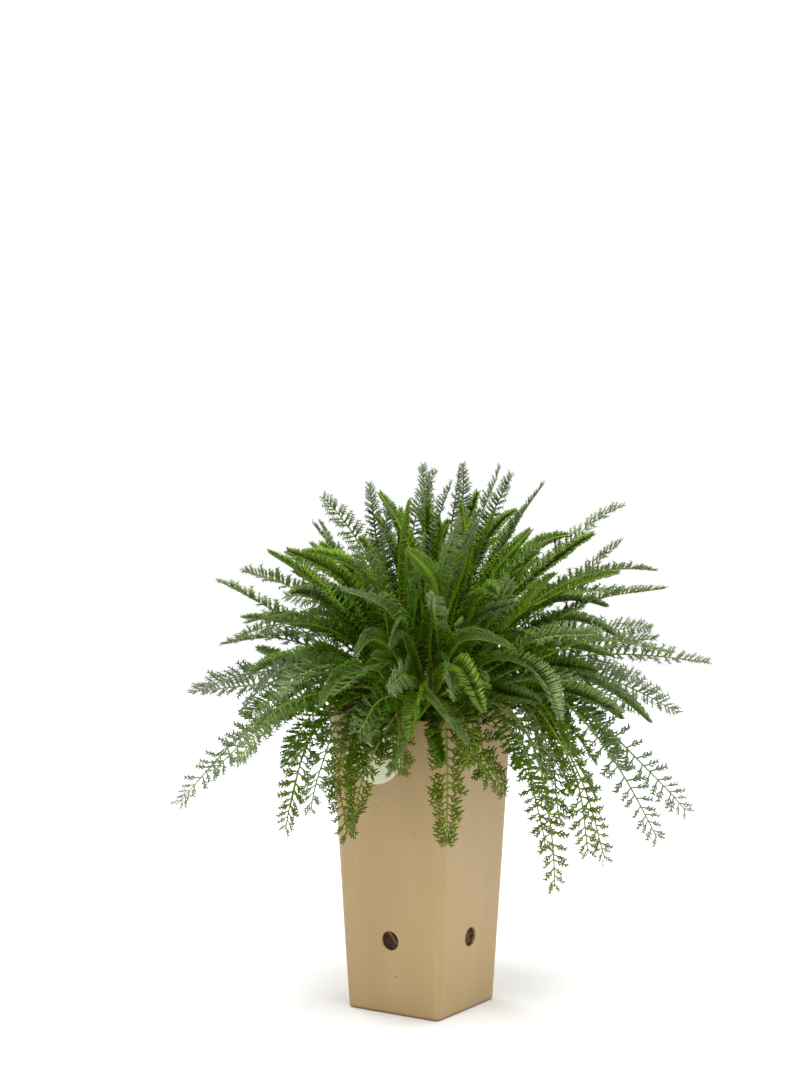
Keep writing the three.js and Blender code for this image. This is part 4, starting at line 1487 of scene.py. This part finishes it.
class Foliage:
    """All the leaves: one piece for each leaf base, standing for that base's solid leaves."""

    def __init__(self, pot: Pot) -> None:
        """Sets up the draws, the leaflet shapes and the finishes.

        Args:
            pot: The pot that the leaves keep clear of.
        """
        self.pot = pot
        self.draw = Draw(SEED)
        self.bases: list[Base] = []
        self.rng = np.random.default_rng(DETAIL_SEED)
        self.materials = {growth: growth.value.material() for growth in Growth}
        self.templates = {
            habit: [habit.value.cut.template(self.rng) for _ in range(TEMPLATES_A_HABIT)] for habit in Habit
        }

    def is_off_pot(self, line: np.ndarray) -> bool:
        """Tells whether a leaf's line keeps clear of the pot and the soil, apart from its stalk's foot.

        Args:
            line: Its points.

        Returns:
            Whether it is clear.
        """
        free = line[np.linalg.norm(line - line[0], axis=1) > FREE_STALK]
        reach = np.abs(free[:, :2]).max(axis=1)
        half = self.pot.side_at(free[:, 2]) / 2
        above = free[:, 2] > self.pot.height + POT_GAP
        outside = reach > half + POT_GAP
        inside = (reach < half - self.pot.wall - POT_GAP) & (free[:, 2] > SOIL_TOP + POT_GAP)
        return bool(np.all(above | outside | inside))

    def is_apart(self, line: np.ndarray, base: Base) -> bool:
        """Tells whether a leaf's line keeps clear of the other bases' leaves.

        Args:
            line: Its points.
            base: Its base, whose own leaves may meet it.

        Returns:
            Whether it is clear.
        """
        for taken in (taken for other in self.bases if other is not base for taken in other.lines):
            coarse = line[::COARSE_STEP, None] - taken[None, ::COARSE_STEP]
            if np.min(np.sum(coarse**2, axis=2)) > (LINE_GAP + COARSE_ROOM) ** 2:
                continue
            if np.min(np.sum((line[:, None] - taken[None]) ** 2, axis=2)) < LINE_GAP**2:
                return False
        return True

    def plan_leaf(self, base: Base, age: int) -> LeafPlan:
        """Draws a leaf's plan from its ring's rule.

        Args:
            base: The base that it grows from.
            age: Which of its leaves it is, as a place in AGES.

        Returns:
            The plan.
        """
        rule = base.ring.leaves[age]
        told: dict[str, Any] = {name: self.draw.spread(size) for name, size in LEAF_SPREAD.items()}
        told["tilt"] += rule.tilt
        told["bearing"] += base.bearing + rule.aside
        told["reach"] = rule.reach * (1 + told["reach"])
        told["bend"] += rule.bend
        told |= {"longest": rule.longest, "growth": rule.growth, "habit": rule.habit}
        settled = SETTLED.get(f"{base.ring.name} {base.slot + 1} {AGES[age]}", Settled())
        return replace(LeafPlan(**told), **settled.changes())

    def grow_leaf(self, base: Base, age: int) -> None:
        """Grows a leaf along the line of its solid, bent clear of the others, if there is room for it.

        Args:
            base: The base, which gets the leaf.
            age: Which of its leaves it is, as a place in AGES.
        """
        root = base.root + heading(base.bearing + NEST_TURNS[age], 0) * NEST_RADIUS
        plan = self.plan_leaf(base, age)
        for lift, turn in product(LIFTS, TURNS):
            handles = plan.handles(lift, turn, root, base.bearing)
            line = bezier(handles, np.linspace(0, 1, LINE_STEPS + 1))
            if self.is_off_pot(line) and self.is_apart(line, base):
                base.leaves.append(Leaf(handles, plan.bearing + turn, plan, self.rng))
                base.lines.append(line)
                return

    def set_base(self, ring: Ring, slot: int) -> Base:
        """Sets a leaf base in the soil.

        Args:
            ring: Its ring.
            slot: Its place in the ring.

        Returns:
            The base, with no leaves yet.
        """
        turn = ring.turn + 360 * slot / ring.bases
        bearing = (turn - 360 if turn > 180 else turn) + self.draw.spread(BASE_SPREAD)
        out = heading(bearing, 0) * ring.radius
        return Base(ring, slot, bearing, np.array([*CROWN, SOIL_TOP + SHEATH_START]) + out)

    def dress(self, base: Base) -> int:
        """Makes a base's leaves as one piece.

        Args:
            base: The base.

        Returns:
            How many faces the piece has.
        """
        mesh, materials = ShellMesh(), []
        for slot, leaf in enumerate(base.leaves):
            leaf.add_midrib(mesh, slot)
            leaf.add_leaflets(mesh, self.templates[leaf.plan.habit], slot)
            materials.append(self.materials[leaf.plan.growth])
        piece = mesh.to_object(f"fine_{base.node}", materials)
        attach(piece, "root")
        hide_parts(base.node)
        LOG.info("%s: %d leaves, %d faces", piece.name, len(base.leaves), len(piece.data.polygons))
        return len(piece.data.polygons)

    def build(self) -> None:
        """Grows every base's leaves, ring by ring and then the late ones, and dresses them."""
        for ring in RINGS:
            for slot in range(ring.bases):
                base = self.set_base(ring, slot)
                self.bases.append(base)
                for age in range(LATE):
                    self.grow_leaf(base, age)
        for base in self.bases:
            self.grow_leaf(base, LATE)
        faces = sum(self.dress(base) for base in self.bases)
        leaves = sum(len(base.leaves) for base in self.bases)
        LOG.info("leaves: %d on %d bases, %d faces", leaves, len(self.bases), faces)


# ---- Studio -------------------------------------------------------------------------------------------


@dataclass(frozen=True)
class Lamp:
    """A soft square light that faces the plant."""

    name: str
    place: tuple[float, float, float]  # m
    size: float  # m, its side
    power: float  # W


@dataclass
class Studio:
    """A pale floor, soft light from all round and the camera."""

    floor_radius: float = 1.3  # m
    floor_points: int = 96
    floor_colour: str = "#fcfcfc"
    camera_place: tuple[float, float, float] = (1.0526, -1.6470, 0.5306)  # m
    camera_turn: float = 33.0  # degrees from -Y towards +X
    camera_dip: float = 6.3  # degrees below the horizon
    lens: float = 101.2  # mm, for a frame that is film_height high
    film_height: float = 36.0  # mm
    sky_low: tuple[float, float] = (-0.2, 0.1)  # how far up it ends, from -1 to 1, and its strength
    sky_high: tuple[float, float] = (1.0, 0.4)  # the same for the sky overhead
    aim: tuple[float, float, float] = (0.0, 0.0, 0.2)  # m, where the lamps point
    lamps: tuple[Lamp, ...] = (
        Lamp("overhead", (0.3, -0.4, 2.4), 2.3, 90),
        Lamp("front right", (2.6, -0.7, 0.6), 1.2, 15),
        Lamp("front left", (-0.9, -2.6, 0.6), 1.2, 13),
        Lamp("back right", (1.2, 2.4, 1.6), 1.4, 32),
        Lamp("back left", (-2.5, 0.9, 1.6), 1.4, 32),
    )

    def build_sky(self) -> None:
        """Makes a plain pale dome: dimmer near the horizon as a light, and even white for the camera."""
        world = bpy.data.worlds.new("studio")
        world.use_nodes = True
        tree = world.node_tree
        tree.nodes.clear()
        way = add_node(tree, "TexCoord").outputs["Generated"]
        limits = {
            "Value": add_node(tree, "SeparateXYZ", {0: way}).outputs["Z"],
            "From Min": self.sky_low[0],
            "From Max": self.sky_high[0],
            "To Min": self.sky_low[1],
            "To Max": self.sky_high[1],
        }
        dome = add_node(tree, "MapRange", limits).outputs["Result"]
        seen = add_node(tree, "LightPath").outputs["Is Camera Ray"]
        strength = add_node(tree, "Mix", {0: seen, 2: dome, 3: 1.0}, data_type="FLOAT").outputs[0]
        sky = add_node(tree, "Background", {"Color": (1.0, 1.0, 1.0, 1.0), "Strength": strength})
        add_node(tree, "OutputWorld", {"Surface": sky.outputs["Background"]})
        bpy.context.scene.world = world

    def hang_lamp(self, lamp: Lamp) -> None:
        """Adds a lamp to the scene.

        Args:
            lamp: The lamp.
        """
        light = bpy.data.lights.new(lamp.name, "AREA")
        light.size = lamp.size
        light.energy = lamp.power
        holder = bpy.data.objects.new(lamp.name, light)
        holder.location = lamp.place
        holder.rotation_euler = (Vector(self.aim) - Vector(lamp.place)).to_track_quat("-Z", "Y").to_euler()
        bpy.context.scene.collection.objects.link(holder)

    def lay_floor(self) -> None:
        """Lays a wide round floor."""
        outline = np.arange(self.floor_points) * math.tau / self.floor_points
        rim = np.stack([np.cos(outline), np.sin(outline), 0 * outline], axis=1) * self.floor_radius
        mesh = bpy.data.meshes.new("floor")
        mesh.from_pydata(rim.tolist(), [], [list(range(self.floor_points))])
        material, tree, _ = start_finish("pale studio floor")
        coat(tree, {"Base Color": linear(self.floor_colour), "Roughness": 0.9})
        place("floor", mesh, [material])

    def set_camera(self) -> None:
        """Sets up the camera."""
        turn, dip = math.radians(self.camera_turn), math.radians(self.camera_dip)
        look = Vector((-math.sin(turn) * math.cos(dip), math.cos(turn) * math.cos(dip), -math.sin(dip)))
        data = bpy.data.cameras.new("camera")
        data.lens = self.lens
        data.sensor_width = self.film_height
        camera = bpy.data.objects.new("camera", data)
        camera.location = self.camera_place
        camera.rotation_euler = look.to_track_quat("-Z", "Y").to_euler()
        bpy.context.scene.collection.objects.link(camera)
        bpy.context.scene.camera = camera

    def build(self) -> None:
        """Sets up sky, lamps, floor and camera."""
        bpy.context.scene.view_settings.view_transform = "Standard"
        self.build_sky()
        for lamp in self.lamps:
            self.hang_lamp(lamp)
        self.lay_floor()
        self.set_camera()


def main() -> None:
    """Builds every piece in order and reports it."""
    logging.basicConfig(level=logging.INFO, format="%(message)s")
    Studio().build()
    pot = Pot()
    pot.build()
    RootBall(pot).build()
    Label(pot).build()
    Foliage(pot).build()


if __name__ == "__main__":
    main()
